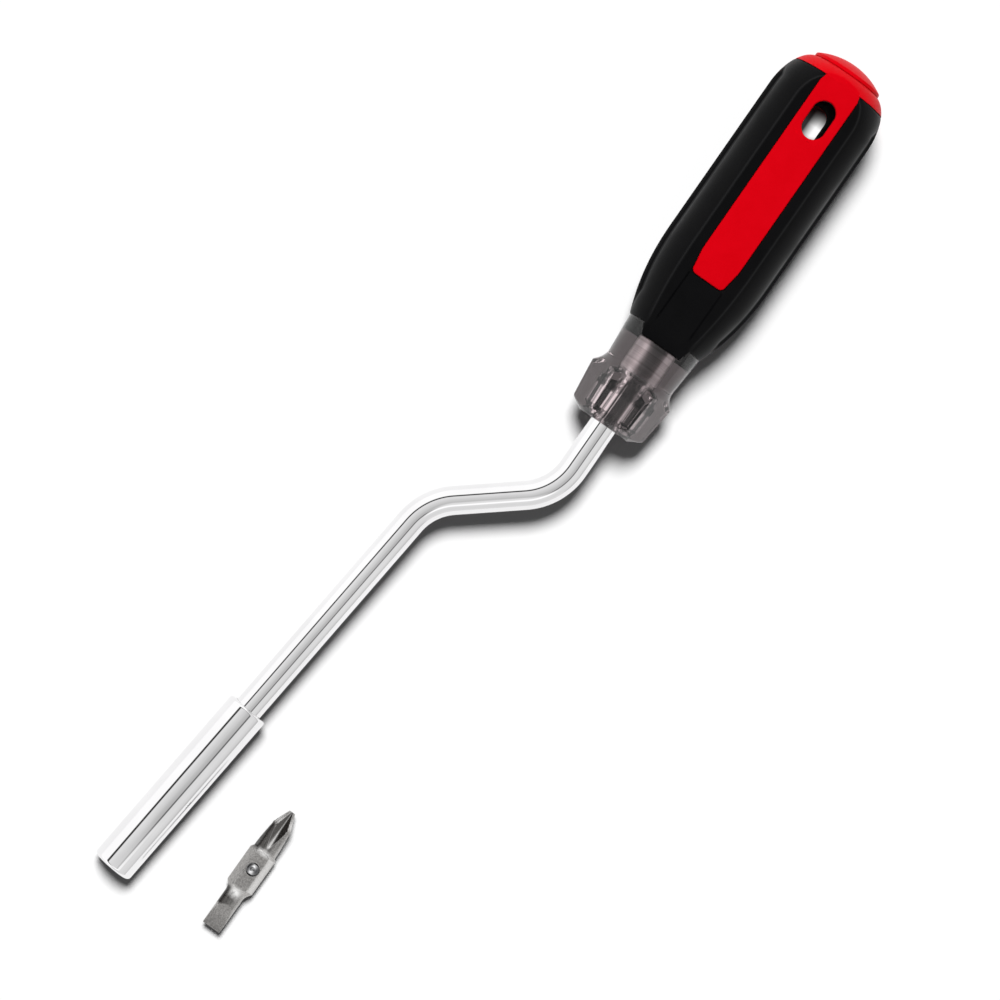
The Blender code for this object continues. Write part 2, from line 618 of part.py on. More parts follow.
def upright_turned(profile):
    """A solid of revolution about Z from points of height and radius."""
    bm = turned(profile, SMALL_SIDES)
    for vert in bm.verts:
        vert.co = Vector((vert.co.y, vert.co.z, vert.co.x))
    return bm


def ball_hole():
    """A blind hole in the upper flat, closed in a little at its mouth to keep the ball."""
    top = BIT_FLATS / 2
    mouth = BALL_HOLE_RADIUS - STAKE_INSET
    profile = [(BALL_HOLE_FLOOR, BALL_HOLE_RADIUS), (top - STAKE_DEPTH, BALL_HOLE_RADIUS)]
    profile += [(top, mouth), (top + CUT_PAST, mouth)]
    return upright_turned(profile)


def make_detent_ball(seat, finish):
    """The ball that snaps into the socket's groove, centred on its seat."""
    bm = bmesh.new()
    bmesh.ops.create_uvsphere(bm, u_segments=SMALL_SIDES, v_segments=SMALL_SIDES // 2, radius=BALL_RADIUS)
    add_piece("detent_ball", bm, finish, seat)


def make_detent_spring(well, finish):
    """The coil under the ball, from the floor of the hole to the ball's underside."""
    coil_radius = (SPRING_DIAMETER - SPRING_WIRE) / 2
    low = BALL_HOLE_FLOOR + MOULD_GAP + SPRING_WIRE / 2
    touch = math.sqrt((BALL_RADIUS + SPRING_WIRE / 2 + MOULD_GAP) ** 2 - coil_radius**2)
    high = BALL_HEIGHT - touch
    steps = SPRING_TURNS * SPRING_STEPS
    points = []
    for i in range(steps + 1):
        angle = 2 * math.pi * i / SPRING_STEPS
        height = low + (high - low) * i / steps
        points.append((coil_radius * math.cos(angle), coil_radius * math.sin(angle), height))
    curve = bpy.data.curves.new("detent_spring", "CURVE")
    curve.dimensions = "3D"
    curve.bevel_depth = SPRING_WIRE / 2
    curve.bevel_resolution = WIRE_RESOLUTION
    curve.use_fill_caps = True
    spline = curve.splines.new("POLY")
    spline.points.add(steps)
    for point, place in zip(spline.points, points):
        point.co = (*place, 1)
    curve.materials.append(finish)
    spring = bpy.data.objects.new("detent_spring", curve)
    bpy.context.collection.objects.link(spring)
    spring.parent = well
    gap = min(
        (Vector(a) - Vector(b)).length
        for i, a in enumerate(points)
        for b in points[i + SPRING_STEPS // 2:]
    ) - SPRING_WIRE
    print(f"detent_spring: least gap between turns {gap / MM:.2f} mm")


def lay_angle(handle):
    """Tilt at which the socket's rim and the grip's lower ridges both touch the ground."""
    origin = handle.location.x
    places = handle_stations(GRIP_FRONT, GRIP_REAR)
    ridges = [(origin + h * math.cos(HANDLE_LEAN), min(face_height(h), barrel_radius(h))) for h in places]
    tilt = 0.0
    for _ in range(LAY_ROUNDS):
        x, drop = max(ridges, key=lambda ridge: ridge[1] * math.cos(tilt) - ridge[0] * math.sin(tilt))
        tilt = math.atan2(drop - SOCKET_RADIUS, x - MOUTH_CHAMFER)
    return tilt


def pieces(place):
    """Every piece of the product that is set from a place."""
    below = place.children_recursive
    return [obj for obj in below if obj.type in ("MESH", "CURVE") and not obj.hide_render]


def world_box(objects):
    """Lowest and highest corners of the finished shapes."""
    bpy.context.view_layer.update()
    graph = bpy.context.evaluated_depsgraph_get()
    corners = []
    for obj in objects:
        shown = obj.evaluated_get(graph)
        mesh = shown.to_mesh()
        corners += [shown.matrix_world @ vert.co for vert in mesh.vertices]
        shown.to_mesh_clear()
    low = Vector(min(c[i] for c in corners) for i in range(3))
    high = Vector(max(c[i] for c in corners) for i in range(3))
    return low, high


def settle(driver, bit_rest):
    """Sets the driver and the bit on the ground, with the origin under the middle of them both."""
    driver.location.z -= world_box(pieces(driver))[0].z
    low, high = world_box(pieces(driver) + pieces(bit_rest))
    middle = (low + high) / 2
    for place in (driver, bit_rest):
        place.location.x -= middle.x
        place.location.y -= middle.y


def main():
    for obj in list(bpy.data.objects):
        bpy.data.objects.remove(obj)
    chrome = finish_material("bright_chrome", (0.86, 0.86, 0.88), roughness=0.06, metallic=1.0)
    smoked = finish_material("smoked_resin", (0.30, 0.26, 0.27), roughness=0.08, transmission=0.8)
    red = finish_material("red_plastic", (0.75, 0.0, 0.012), roughness=0.4)
    black = finish_material("black_elastomer", (0.018, 0.018, 0.019), roughness=0.6)
    steel = finish_material("blasted_steel", (0.42, 0.40, 0.38), roughness=0.45, metallic=1.0)
    bearing = finish_material("bearing_steel", (0.70, 0.70, 0.71), roughness=0.12, metallic=1.0)

    driver = add_empty("driver_rest", (0, 0, 0), 0.0)
    corner = Vector((LOWER_LENGTH, 0, 0)) + OFFSET_LENGTH * plan_direction(-LOWER_BEND)
    bolster_front = corner + STUB_LENGTH * plan_direction(HANDLE_LEAN)
    handle = add_empty("handle_axis", bolster_front, HANDLE_LEAN, driver)
    bit_rest = add_empty("bit_rest", (BIT_ALONG, -BIT_BESIDE, BIT_FLATS / 2), BIT_TURN)
    ball_well = add_empty("ball_well", (BALL_ALONG, 0, 0), 0.0, bit_rest)
    ball_seat = add_empty("ball_seat", (0, 0, BALL_HEIGHT), 0.0, ball_well)

    make_shaft(driver, handle, chrome)
    make_bit_socket(driver, chrome)
    make_bolster(handle, smoked)
    make_handle_core(handle, red)
    make_cushion_grip(handle, black)
    make_slot_liner(handle, black)
    make_butt_cap(handle, red)
    make_bit_body(bit_rest, ball_well, steel)
    make_detent_ball(ball_seat, bearing)
    make_detent_spring(ball_well, bearing)

    driver.rotation_euler.y = -lay_angle(handle)
    settle(driver, bit_rest)


main()
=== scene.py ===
# %% [markdown]
# # An offset screwdriver and its loose bit
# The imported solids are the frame. They say where each piece sits and how it moves.
# This notebook gives each piece a finer skin and a real finish. A skin is a grid of points
# worked out with numpy, so that one formula makes a whole surface.

# %% Load the frame
import json

import bmesh
import bpy
import numpy as np
from mathutils import Matrix


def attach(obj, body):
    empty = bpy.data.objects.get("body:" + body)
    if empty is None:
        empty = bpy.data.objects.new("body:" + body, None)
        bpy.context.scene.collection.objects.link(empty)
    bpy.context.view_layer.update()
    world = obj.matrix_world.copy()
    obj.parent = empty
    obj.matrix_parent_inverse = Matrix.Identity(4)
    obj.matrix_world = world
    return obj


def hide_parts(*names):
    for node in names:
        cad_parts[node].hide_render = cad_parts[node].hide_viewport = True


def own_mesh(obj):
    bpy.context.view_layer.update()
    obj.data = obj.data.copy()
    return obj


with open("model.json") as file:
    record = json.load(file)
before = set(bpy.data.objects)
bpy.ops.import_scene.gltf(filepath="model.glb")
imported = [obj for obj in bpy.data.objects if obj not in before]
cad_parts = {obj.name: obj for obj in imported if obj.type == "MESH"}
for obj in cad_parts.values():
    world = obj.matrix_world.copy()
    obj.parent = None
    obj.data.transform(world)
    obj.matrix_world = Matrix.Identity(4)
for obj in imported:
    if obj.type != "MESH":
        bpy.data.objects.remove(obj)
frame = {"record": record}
bpy.context.scene.view_settings.view_transform = "Standard"
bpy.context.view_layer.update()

# %% [markdown]
# ## Places to measure from
# A maker measures the shaft from the mouth of the socket, the handle from the front of the
# bolster and the bit from the middle of its hex. Every formula below works in millimetres
# from one of these places, and `place` turns the result into metres in the shared frame.
# The record's mounts say where the mouth is, which way it faces and where the bit lies.

# %% Places
MM = 0.001
HANDLE_LEAN = np.radians(6.1)
BIT_TURN = np.radians(5.5)
OFFSET_TURN = np.radians(-45.0)
LOWER_LENGTH, OFFSET_LENGTH, STUB_LENGTH = 117.7, 31.5, 20.2
MOUTH_MOUNT_HEIGHT = 4.0
BIT_APOTHEM = 3.175
mounts = {mount["name"]: mount for mount in frame["record"]["mounts"]}


def turned_axes(axes, turn):
    """Rows are forward, across and up. Forward and across turn about up."""
    plan = np.array(((np.cos(turn), np.sin(turn), 0), (-np.sin(turn), np.cos(turn), 0), (0, 0, 1)))
    return plan @ axes


def place(local, where):
    """World points: the origin plus x forward, y across and z up, from millimetres to metres."""
    origin, axes = where
    return origin + MM * (np.asarray(local) @ axes)


def heading(angle):
    """Unit vector in plan."""
    return np.array((np.cos(angle), np.sin(angle)))


FIRST_CORNER = LOWER_LENGTH * heading(0.0)
SECOND_CORNER = FIRST_CORNER + OFFSET_LENGTH * heading(OFFSET_TURN)
BOLSTER_FRONT = SECOND_CORNER + STUB_LENGTH * heading(HANDLE_LEAN)
forward = -np.array(mounts["socket_mouth"]["axis"])
across = np.array((0.0, 1.0, 0.0))
driver_axes = np.stack((forward, across, np.cross(forward, across)))
mouth = np.array(mounts["socket_mouth"]["pos_m"]) - MM * MOUTH_MOUNT_HEIGHT * driver_axes[2]
DRIVER = (mouth, driver_axes)
HANDLE = (place((*BOLSTER_FRONT, 0.0), DRIVER), turned_axes(driver_axes, HANDLE_LEAN))
bit_middle = np.array(mounts["bit_flat"]["pos_m"]) + np.array((0.0, 0.0, MM * BIT_APOTHEM))
BIT = (bit_middle, turned_axes(np.eye(3), BIT_TURN))
print("handle starts at, mm:", np.round(HANDLE[0] / MM, 2))

# %% [markdown]
# ## From a grid to a mesh
# A grid of points has rows and columns, and each cell between four of them is a quad.
# A grid that loops both ways is a ring, like a tyre, and suits a sleeve with a hole in it.
# Where a row shrinks to one point, the doubles are joined, and that closes the pole.

# %% Grid helpers
WELD = 1e-6


def quads(rows, columns, loop_rows=False, loop_columns=True):
    """Corner numbers of each cell, from a point to its neighbours one column and one row on."""
    r = np.arange(rows if loop_rows else rows - 1)
    c = np.arange(columns if loop_columns else columns - 1)
    r, c = np.meshgrid(r, c, indexing="ij")
    r_next, c_next = (r + 1) % rows, (c + 1) % columns
    cell = (r * columns + c, r * columns + c_next, r_next * columns + c_next, r_next * columns + c)
    return np.stack(cell, axis=-1).reshape(-1, 4)


def smooth(mesh, sharp):
    """Smooth shading, broken where faces meet at more than an angle in degrees."""
    mesh.shade_smooth()
    mesh.set_sharp_from_angle(angle=np.radians(sharp))


def skin(name, points, faces, sharp=35.0, masks=None):
    """A mesh from world points and quads, with doubles joined and faces turned outwards.

    Points that no quad uses are left out, and `used` keeps the masks in step with the rest."""
    used, faces = np.unique(faces, return_inverse=True)
    faces = faces.reshape(-1, 4)
    mesh = bpy.data.meshes.new(name)
    mesh.vertices.add(len(used))
    mesh.vertices.foreach_set("co", points[used].astype(np.float32).ravel())
    mesh.loops.add(faces.size)
    mesh.loops.foreach_set("vertex_index", faces.astype(np.int32).ravel())
    mesh.polygons.add(len(faces))
    mesh.polygons.foreach_set("loop_start", np.arange(0, faces.size, 4, dtype=np.int32))
    mesh.update(calc_edges=True)
    for mask, values in (masks or {}).items():
        layer = mesh.attributes.new(mask, "FLOAT", "POINT")
        layer.data.foreach_set("value", values.ravel()[used].astype(np.float32))
    bm = bmesh.new()
    bm.from_mesh(mesh)
    bmesh.ops.remove_doubles(bm, verts=bm.verts, dist=WELD)
    bmesh.ops.dissolve_degenerate(bm, dist=WELD, edges=bm.edges)
    bmesh.ops.recalc_face_normals(bm, faces=bm.faces)
    bm.to_mesh(mesh)
    bm.free()
    smooth(mesh, sharp)
    piece = bpy.data.objects.new(name, mesh)
    bpy.context.collection.objects.link(piece)
    return piece


def carve(piece, cutters, sharp=35.0):
    """Cuts solids out of a piece, keeps the result as its mesh and removes the cutters."""
    for cutter in cutters:
        step = piece.modifiers.new(cutter.name, "BOOLEAN")
        step.operation = "DIFFERENCE"
        step.object = cutter
    graph = bpy.context.evaluated_depsgraph_get()
    mesh = bpy.data.meshes.new_from_object(piece.evaluated_get(graph))
    piece.modifiers.clear()
    piece.data = mesh
    smooth(mesh, sharp)
    for cutter in cutters:
        bpy.data.objects.remove(cutter)


def round_section(radius, angle):
    """Section points at an angle from the top, as across and up."""
    return radius * np.sin(angle), radius * np.cos(angle)


def turned_points(along, radius, angle, where):
    """A grid round the X axis: row i at along[i], column j at angle[j], as far out as radius."""
    y, z = round_section(radius, angle[None, :])
    x = np.broadcast_to(along[:, None], y.shape)
    return place(np.stack((x, y, z), axis=-1).reshape(-1, 3), where)


print("cells in a ring of 3 rows and 4 columns:", len(quads(3, 4, loop_rows=True)))

# %% [markdown]
# ## Soft corners
# No moulded or ground edge is perfectly sharp, and it is the small round on an edge that
# catches the light. These formulas round the place where two surfaces meet.

# %% Rounding helpers


def eased_min(a, b, ease):
    """The smaller value, with the crossing rounded: half of a + b - root((a - b)^2 + ease^2)."""
    return 0.5 * (a + b - np.sqrt((a - b) ** 2 + ease**2))


def eased_max(a, b, ease):
    """The larger value, with the crossing rounded in the same way."""
    return -eased_min(-a, -b, ease)


def rolled_edge(distance, radius):
    """How far a round edge has fallen at a distance in from its rim: a quarter circle."""
    inside = np.clip(distance / radius, 0.0, 1.0)
    return radius * (1.0 - np.sqrt(1.0 - (1.0 - inside) ** 2))


def eased_profile(corners, ease, steps=5):
    """A chain of corners, each replaced by a parabola that starts and ends at `ease` from it."""
    corners = np.asarray(corners, float)
    ease = np.asarray(ease, float)[:, None]
    before, after = np.roll(corners, 1, axis=0) - corners, np.roll(corners, -1, axis=0) - corners
    start = corners + ease * before / np.linalg.norm(before, axis=1, keepdims=True)
    end = corners + ease * after / np.linalg.norm(after, axis=1, keepdims=True)
    t = np.linspace(0.0, 1.0, steps)[None, :, None]
    curve = (1 - t) ** 2 * start[:, None] + 2 * t * (1 - t) * corners[:, None] + t**2 * end[:, None]
    return curve.reshape(-1, 2)


def around(count):
    """Even angles round a full turn."""
    return np.linspace(0.0, 2 * np.pi, count, endpoint=False)


def hexagon_reach(apothem, angle):
    """Distance from the axis to a hexagon with flats above and below."""
    nearest = (angle + np.pi / 6) % (np.pi / 3) - np.pi / 6
    return apothem / np.cos(nearest)


print("smaller of 1 and 1, eased by 0.1:", eased_min(1.0, 1.0, 0.1))

# %% [markdown]
# ## Camera
# The photograph looks down on the driver from about 1.2 m, a little from the upper left of
# the frame, and the lower shaft climbs at 49 degrees. A long lens keeps the shape flat.

# %% Camera
CAMERA_PLACE = np.array((-0.050684, 0.050673, 1.225069))
CAMERA_AIM = np.array((-0.003627, -0.000290, 0.010))
CAMERA_ROLL = np.radians(49.04)
CAMERA_LENS = 179.28


def camera_axes(position, aim, roll, level):
    """Right, up and back: back points from aim to position, and `level` climbs at the roll."""
    back = (position - aim) / np.linalg.norm(position - aim)
    flat = level - (level @ back) * back
    flat /= np.linalg.norm(flat)
    upward = np.cross(back, flat)
    right = np.cos(roll) * flat - np.sin(roll) * upward
    return right, np.cross(back, right), back


def turn_to(axes, position):
    """A matrix whose columns are the three axes and the position."""
    matrix = np.eye(4)
    matrix[:3, :3] = np.stack(axes, axis=1)
    matrix[:3, 3] = position
    return Matrix(matrix.tolist())


FRAME_RIGHT, FRAME_UP, FRAME_BACK = camera_axes(CAMERA_PLACE, CAMERA_AIM, CAMERA_ROLL, DRIVER[1][0])
camera = bpy.data.objects.new("camera", bpy.data.cameras.new("camera"))
camera.data.lens = CAMERA_LENS
camera.data.sensor_width = 36.0
camera.matrix_world = turn_to((FRAME_RIGHT, FRAME_UP, FRAME_BACK), CAMERA_PLACE)
bpy.context.collection.objects.link(camera)
bpy.context.scene.camera = camera
print("camera looks along", np.round(-FRAME_BACK, 3))

# %% [markdown]
# ## Shared surface effects
# Two effects return in several finishes, so each is one node group. `fine_grain` is the
# texture of a moulded or blasted surface: a small noise for height and a larger one for
# tone. `handling` is the faint cloudiness that hands and polishing leave in a gloss.

# %% Node groups


def node_group(name, inputs, outputs):
    """An empty shader group with float or vector sockets, and its two end nodes."""
    group = bpy.data.node_groups.new(name, "ShaderNodeTree")
    for socket, kind in inputs:
        group.interface.new_socket(socket, in_out="INPUT", socket_type=kind)
    for socket, kind in outputs:
        group.interface.new_socket(socket, in_out="OUTPUT", socket_type=kind)
    return group, group.nodes.new("NodeGroupInput"), group.nodes.new("NodeGroupOutput")


def make_fine_grain():
    """Height from a noise at the grain's own scale, tone from one twelve times larger."""
    group, source, sink = node_group(
        "fine_grain",
        (("Vector", "NodeSocketVector"), ("Scale", "NodeSocketFloat")),
        (("Height", "NodeSocketFloat"), ("Tone", "NodeSocketFloat")),
    )
    link = group.links.new
    fine = group.nodes.new("ShaderNodeTexNoise")
    fine.inputs["Detail"].default_value = 3.0
    fine.inputs["Roughness"].default_value = 0.6
    wide = group.nodes.new("ShaderNodeTexNoise")
    wide.inputs["Detail"].default_value = 4.0
    shrink = group.nodes.new("ShaderNodeMath")
    shrink.operation = "DIVIDE"
    shrink.inputs[1].default_value = 12.0
    link(source.outputs["Vector"], fine.inputs["Vector"])
    link(source.outputs["Vector"], wide.inputs["Vector"])
    link(source.outputs["Scale"], fine.inputs["Scale"])
    link(source.outputs["Scale"], shrink.inputs[0])
    link(shrink.outputs[0], wide.inputs["Scale"])
    link(fine.outputs["Fac"], sink.inputs["Height"])
    link(wide.outputs["Fac"], sink.inputs["Tone"])
    return group


def make_handling():
    """A soft cloud mask: a large warped noise pushed towards its ends."""
    group, source, sink = node_group(
        "handling",
        (("Vector", "NodeSocketVector"), ("Scale", "NodeSocketFloat")),
        (("Mask", "NodeSocketFloat"),),
    )
    link = group.links.new
    cloud = group.nodes.new("ShaderNodeTexNoise")
    cloud.inputs["Detail"].default_value = 5.0
    cloud.inputs["Distortion"].default_value = 0.8
    push = group.nodes.new("ShaderNodeMapRange")
    push.interpolation_type = "SMOOTHSTEP"
    push.inputs["From Min"].default_value = 0.38
    push.inputs["From Max"].default_value = 0.68
    link(source.outputs["Vector"], cloud.inputs["Vector"])
    link(source.outputs["Scale"], cloud.inputs["Scale"])
    link(cloud.outputs["Fac"], push.inputs["Value"])
    link(push.outputs["Result"], sink.inputs["Mask"])
    return group


FINE_GRAIN = make_fine_grain()
HANDLING = make_handling()
print("groups:", FINE_GRAIN.name, HANDLING.name)

# %% [markdown]
# ## Building a finish
# Each finish is a Principled shader. These small helpers place a node, spread a mask between
# two numbers or two colours, and turn a height into a bump, so the recipes below stay short.

# %% Finish helpers


class Nodes:
    """A node tree with short ways to add a node, feed a socket, do a sum and mix two colours."""

    def __init__(self, tree):
        self.tree = tree

    def add(self, kind):
        return self.tree.nodes.new(kind)

    def feed(self, value, socket):
        """An output is linked to the socket, and a plain value is set on it."""
        if isinstance(value, bpy.types.NodeSocket):
            self.tree.links.new(value, socket)
        else:
            socket.default_value = value

    def sum(self, operation, a, b=0.0):
        """One sum of outputs or plain numbers."""
        node = self.add("ShaderNodeMath")
        node.operation = operation
        self.feed(a, node.inputs[0])
        self.feed(b, node.inputs[1])
        return node.outputs[0]

    def along(self, vector, direction):
        """How far a vector runs along a direction."""
        node = self.add("ShaderNodeVectorMath")
        node.operation = "DOT_PRODUCT"
        self.feed(vector, node.inputs[0])
        self.feed(tuple(direction), node.inputs[1])
        return node.outputs["Value"]

    def spread(self, mask, low, high, start=0.0, end=1.0):
        """A number that goes from low to high as the mask goes from start to end."""
        node = self.add("ShaderNodeMapRange")
        self.feed(mask, node.inputs["Value"])
        for name, value in (("From Min", start), ("From Max", end), ("To Min", low), ("To Max", high)):
            self.feed(value, node.inputs[name])
        return node.outputs["Result"]

    def tint(self, mask, low, high):
        """A colour that goes from low to high as the mask goes from 0 to 1."""
        node = self.add("ShaderNodeMix")
        node.data_type = "RGBA"
        self.feed(mask, node.inputs["Factor"])
        for colour, name in ((low, "A"), (high, "B")):
            self.feed((*colour, 1.0) if isinstance(colour, tuple) else colour, node.inputs[name])
        return node.outputs["Result"]


class Finish(Nodes):
    """A material's tree, its Principled shader and its own Object coordinates."""

    def __init__(self, name, metallic=0.0):
        self.material = bpy.data.materials.new(name)
        self.material.use_nodes = True
        super().__init__(self.material.node_tree)
        self.shader = self.tree.nodes["Principled BSDF"]
        self.coordinates = self.add("ShaderNodeTexCoord").outputs["Object"]
        self.set("Metallic", metallic)

    def set(self, name, value):
        """Feeds one input of the shader."""
        self.feed(value, self.shader.inputs[name])

    def effect(self, group, scale):
        """One of the shared groups, at a scale in features per metre."""
        node = self.add("ShaderNodeGroup")
        node.node_tree = group
        self.feed(scale, node.inputs["Scale"])
        self.feed(self.coordinates, node.inputs["Vector"])
        return node.outputs

    def mask(self, name):
        """A mask that a skin carries as an attribute. A skin without it reads 0."""
        node = self.add("ShaderNodeAttribute")
        node.attribute_name = name
        return node.outputs["Fac"]

    def bump(self, height, depth):
        """Bends the normal by a height field whose full range is `depth` metres."""
        node = self.add("ShaderNodeBump")
        self.feed(depth, node.inputs["Distance"])
        self.feed(height, node.inputs["Height"])
        self.set("Normal", node.outputs["Normal"])


def dress(piece, finish, body, node):
    """Gives a piece its finish, the body it moves with and the solid it stands for."""
    piece.data.materials.clear()
    piece.data.materials.append(finish.material)
    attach(piece, body)
    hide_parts(node)
    print(f"{piece.name}: {len(piece.data.polygons)} faces on {body}")


# %% [markdown]
# ## Bright chrome
# Chrome plate has almost no colour of its own. What tells it from a perfect mirror is a
# faint cloudiness in the polish, so its roughness and a trace of tone change. The tail of the
# bar, inside the handle, is left as it was turned. It shows fine rings through the resin, and
# the tool that swages the wings leaves dark spots at their ends.

# %% Chrome finish
chrome = Finish("bright_chrome", metallic=1.0)
polish_clouds = chrome.effect(HANDLING, scale=45.0)["Mask"]
plate = chrome.tint(polish_clouds, (0.845, 0.84, 0.845), (0.892, 0.887, 0.892))
turned_tail = chrome.mask("turned_tail")
rings = chrome.add("ShaderNodeTexNoise")
rings.noise_dimensions = "1D"
chrome.feed(700.0, rings.inputs["Scale"])
chrome.feed(4.0, rings.inputs["Detail"])
chrome.feed(0.7, rings.inputs["Roughness"])
chrome.feed(chrome.along(chrome.coordinates, HANDLE[1][0]), rings.inputs["W"])
ring_mask = chrome.sum("MULTIPLY", chrome.spread(rings.outputs["Fac"], 0.0, 1.0, 0.35, 0.65), turned_tail)
ringed = chrome.tint(ring_mask, plate, (0.58, 0.56, 0.56))
scorch_spots = chrome.spread(chrome.effect(FINE_GRAIN, scale=900.0)["Height"], 0.0, 1.0, 0.36, 0.48)
scorch = chrome.sum("MULTIPLY", scorch_spots, chrome.mask("swage_mark"))
chrome.set("Base Color", chrome.tint(scorch, ringed, (0.006, 0.005, 0.005)))
mirror = chrome.spread(polish_clouds, 0.03, 0.07)
chrome.set("Roughness", chrome.sum("MAXIMUM", mirror, chrome.sum("MULTIPLY", turned_tail, 0.36)))
print("finish:", chrome.material.name)

# %% [markdown]
# ## Shaft
# The shaft is one round bar with two bends. A profile carried along a path is the natural
# way to make it: each row is a circle, square to the path. Inside the bolster two wings are
# swaged out of the bar, so there the circle grows two flat ears.

# %% Shaft path
SHAFT_RADIUS = 3.6
BEND_RADIUS = 15.5
SHAFT_START = 20.8
SHAFT_IN_HANDLE = 70.0
END_CHAMFER = 0.5
BEND_STEPS = 26
TAIL_START, TAIL_FULL = 12.4, 14.0


def bend(corner, turn_in, turn_out):
    """Centres and headings round a bend: an arc tangent to the straight runs beside it."""
    side = np.sign(turn_out - turn_in)
    start = corner - BEND_RADIUS * np.tan(abs(turn_out - turn_in) / 2) * heading(turn_in)
    hub = start + side * BEND_RADIUS * heading(turn_in + np.pi / 2)
    turns = np.linspace(turn_in, turn_out, BEND_STEPS)
    return hub - side * BEND_RADIUS * np.stack((-np.sin(turns), np.cos(turns)), axis=1), turns


def run(origin, turn, places):
    """Centres and headings along a straight run, at places measured from its origin."""
    return origin + np.outer(places, heading(turn)), np.full(len(places), turn)


wing_rows = np.array((1.8, 2.1, 2.4, 2.8, 3.2, 3.5, 6.9, 8.0, 8.6, 10.3, 10.6, 11.0, 11.4, 11.7, 12.0))
tail_rows = np.array((20.0, 40.0, SHAFT_IN_HANDLE - END_CHAMFER, SHAFT_IN_HANDLE, SHAFT_IN_HANDLE))
nose_rows = np.array((SHAFT_START, SHAFT_START, SHAFT_START + END_CHAMFER, 50.0, 80.0))
handle_rows = np.concatenate(((0.0, 1.4), wing_rows, (TAIL_START, TAIL_FULL), tail_rows))
parts = (
    run(np.zeros(2), 0.0, nose_rows),
    bend(FIRST_CORNER, 0.0, OFFSET_TURN),
    bend(SECOND_CORNER, OFFSET_TURN, HANDLE_LEAN),
    run(BOLSTER_FRONT, HANDLE_LEAN, handle_rows),
)
shaft_centres = np.concatenate([centres for centres, _ in parts])
shaft_turns = np.concatenate([turns for _, turns in parts])
print("shaft rows:", len(shaft_turns))

# %% Wings of the shaft
WING_REACH, WING_ROOT = 5.0, 1.8
WING_PLACES = (1.8, 3.2, 10.6, 12.0)
WING_HALF_THICKNESS = 1.1
WING_ROUND = 0.18
ears = np.radians(np.linspace(6.0, 24.0, 19))


def ear_angles(count, first):
    """Even angles round a turn, and closer ones beside the wings, at `first` and opposite it.

    They are rounded, so that an angle which is in both sets is kept once."""
    beside = [middle + side * ears for middle in (first, first + np.pi) for side in (-1, 1)]
    return np.unique(np.round(np.concatenate((around(count), *beside)) % (2 * np.pi), 9))


def winged(h):
    """True at the places in the handle where the bar has its wings."""
    return (h >= WING_PLACES[0]) & (h <= WING_PLACES[-1])


def wing_radius(h, angle):
    """Radius of the winged bar at h in the handle: the circle, or the ears where they reach further.

    An ear is a bar of constant thickness, so it reaches thickness / sine out at its sides and
    reach / cosine out at its end. Angles run from straight across."""
    reach = np.interp(h, WING_PLACES, (WING_ROOT, WING_REACH, WING_REACH, WING_ROOT))
    end = reach[:, None] / np.maximum(np.abs(np.cos(angle)), 1e-6)
    flank = WING_HALF_THICKNESS / np.maximum(np.abs(np.sin(angle)), 1e-6)
    ear = eased_min(end, flank, WING_ROUND)
    return eased_max(np.full_like(ear, SHAFT_RADIUS), ear, WING_ROUND) - WING_ROUND**2 / 4


shaft_angles = ear_angles(72, 0.0)
print("angles round the shaft:", len(shaft_angles))

# %% Shaft skin
SCORCH_PLACES = (1.4, 1.8, 3.2, 3.5, 8.0, 8.6, 12.0, 14.0)
SCORCH_SHARES = (0, 1, 1, 0, 0, 1, 1, 0)
SCORCH_LEAST = 0.45


def shaft_skin():
    """Each row's centre, plus its radius times cosine across the path and sine up.

    One mask marks the tail behind the wings, which is left as turned, and one the ends of
    the wings, which the swaging tool has scorched."""
    radius = np.full((len(shaft_turns), len(shaft_angles)), SHAFT_RADIUS)
    rows = slice(len(shaft_turns) - len(handle_rows), None)
    inside = wing_radius(handle_rows, shaft_angles[None, :])
    radius[rows] = np.where(winged(handle_rows)[:, None], inside, radius[rows])
    radius[[0, -1]] = 0.0
    radius[[1, -2]] = SHAFT_RADIUS - END_CHAMFER
    sideways = np.stack((-np.sin(shaft_turns), np.cos(shaft_turns)), axis=1)
    plan = shaft_centres[:, None] + (radius * np.cos(shaft_angles))[..., None] * sideways[:, None]
    points = np.concatenate((plan, (radius * np.sin(shaft_angles))[..., None]), axis=-1)
    tail, swage = np.zeros_like(radius), np.zeros_like(radius)
    tail[rows] = np.interp(handle_rows, (TAIL_START, TAIL_FULL), (0.0, 1.0))[:, None]
    ends = np.interp(handle_rows, SCORCH_PLACES, SCORCH_SHARES)
    swage[rows] = ends[:, None] * (SCORCH_LEAST + (1 - SCORCH_LEAST) * np.cos(shaft_angles) ** 2)
    masks = {"turned_tail": tail, "swage_mark": swage}
    return place(points.reshape(-1, 3), DRIVER), quads(*radius.shape), masks


shaft_points, shaft_faces, shaft_masks = shaft_skin()
shaft_bar = skin("shaft_bar", shaft_points, shaft_faces, masks=shaft_masks)
dress(shaft_bar, chrome, "driver", "shaft")

# %% [markdown]
# ## Socket sleeve
# The sleeve is a ring-shaped grid. Its rows go out over the mouth, along the outside, round
# the rear shoulder and back through the bore. In front the bore is a hexagon with a
# countersunk mouth and a round groove that the bit's ball snaps into.

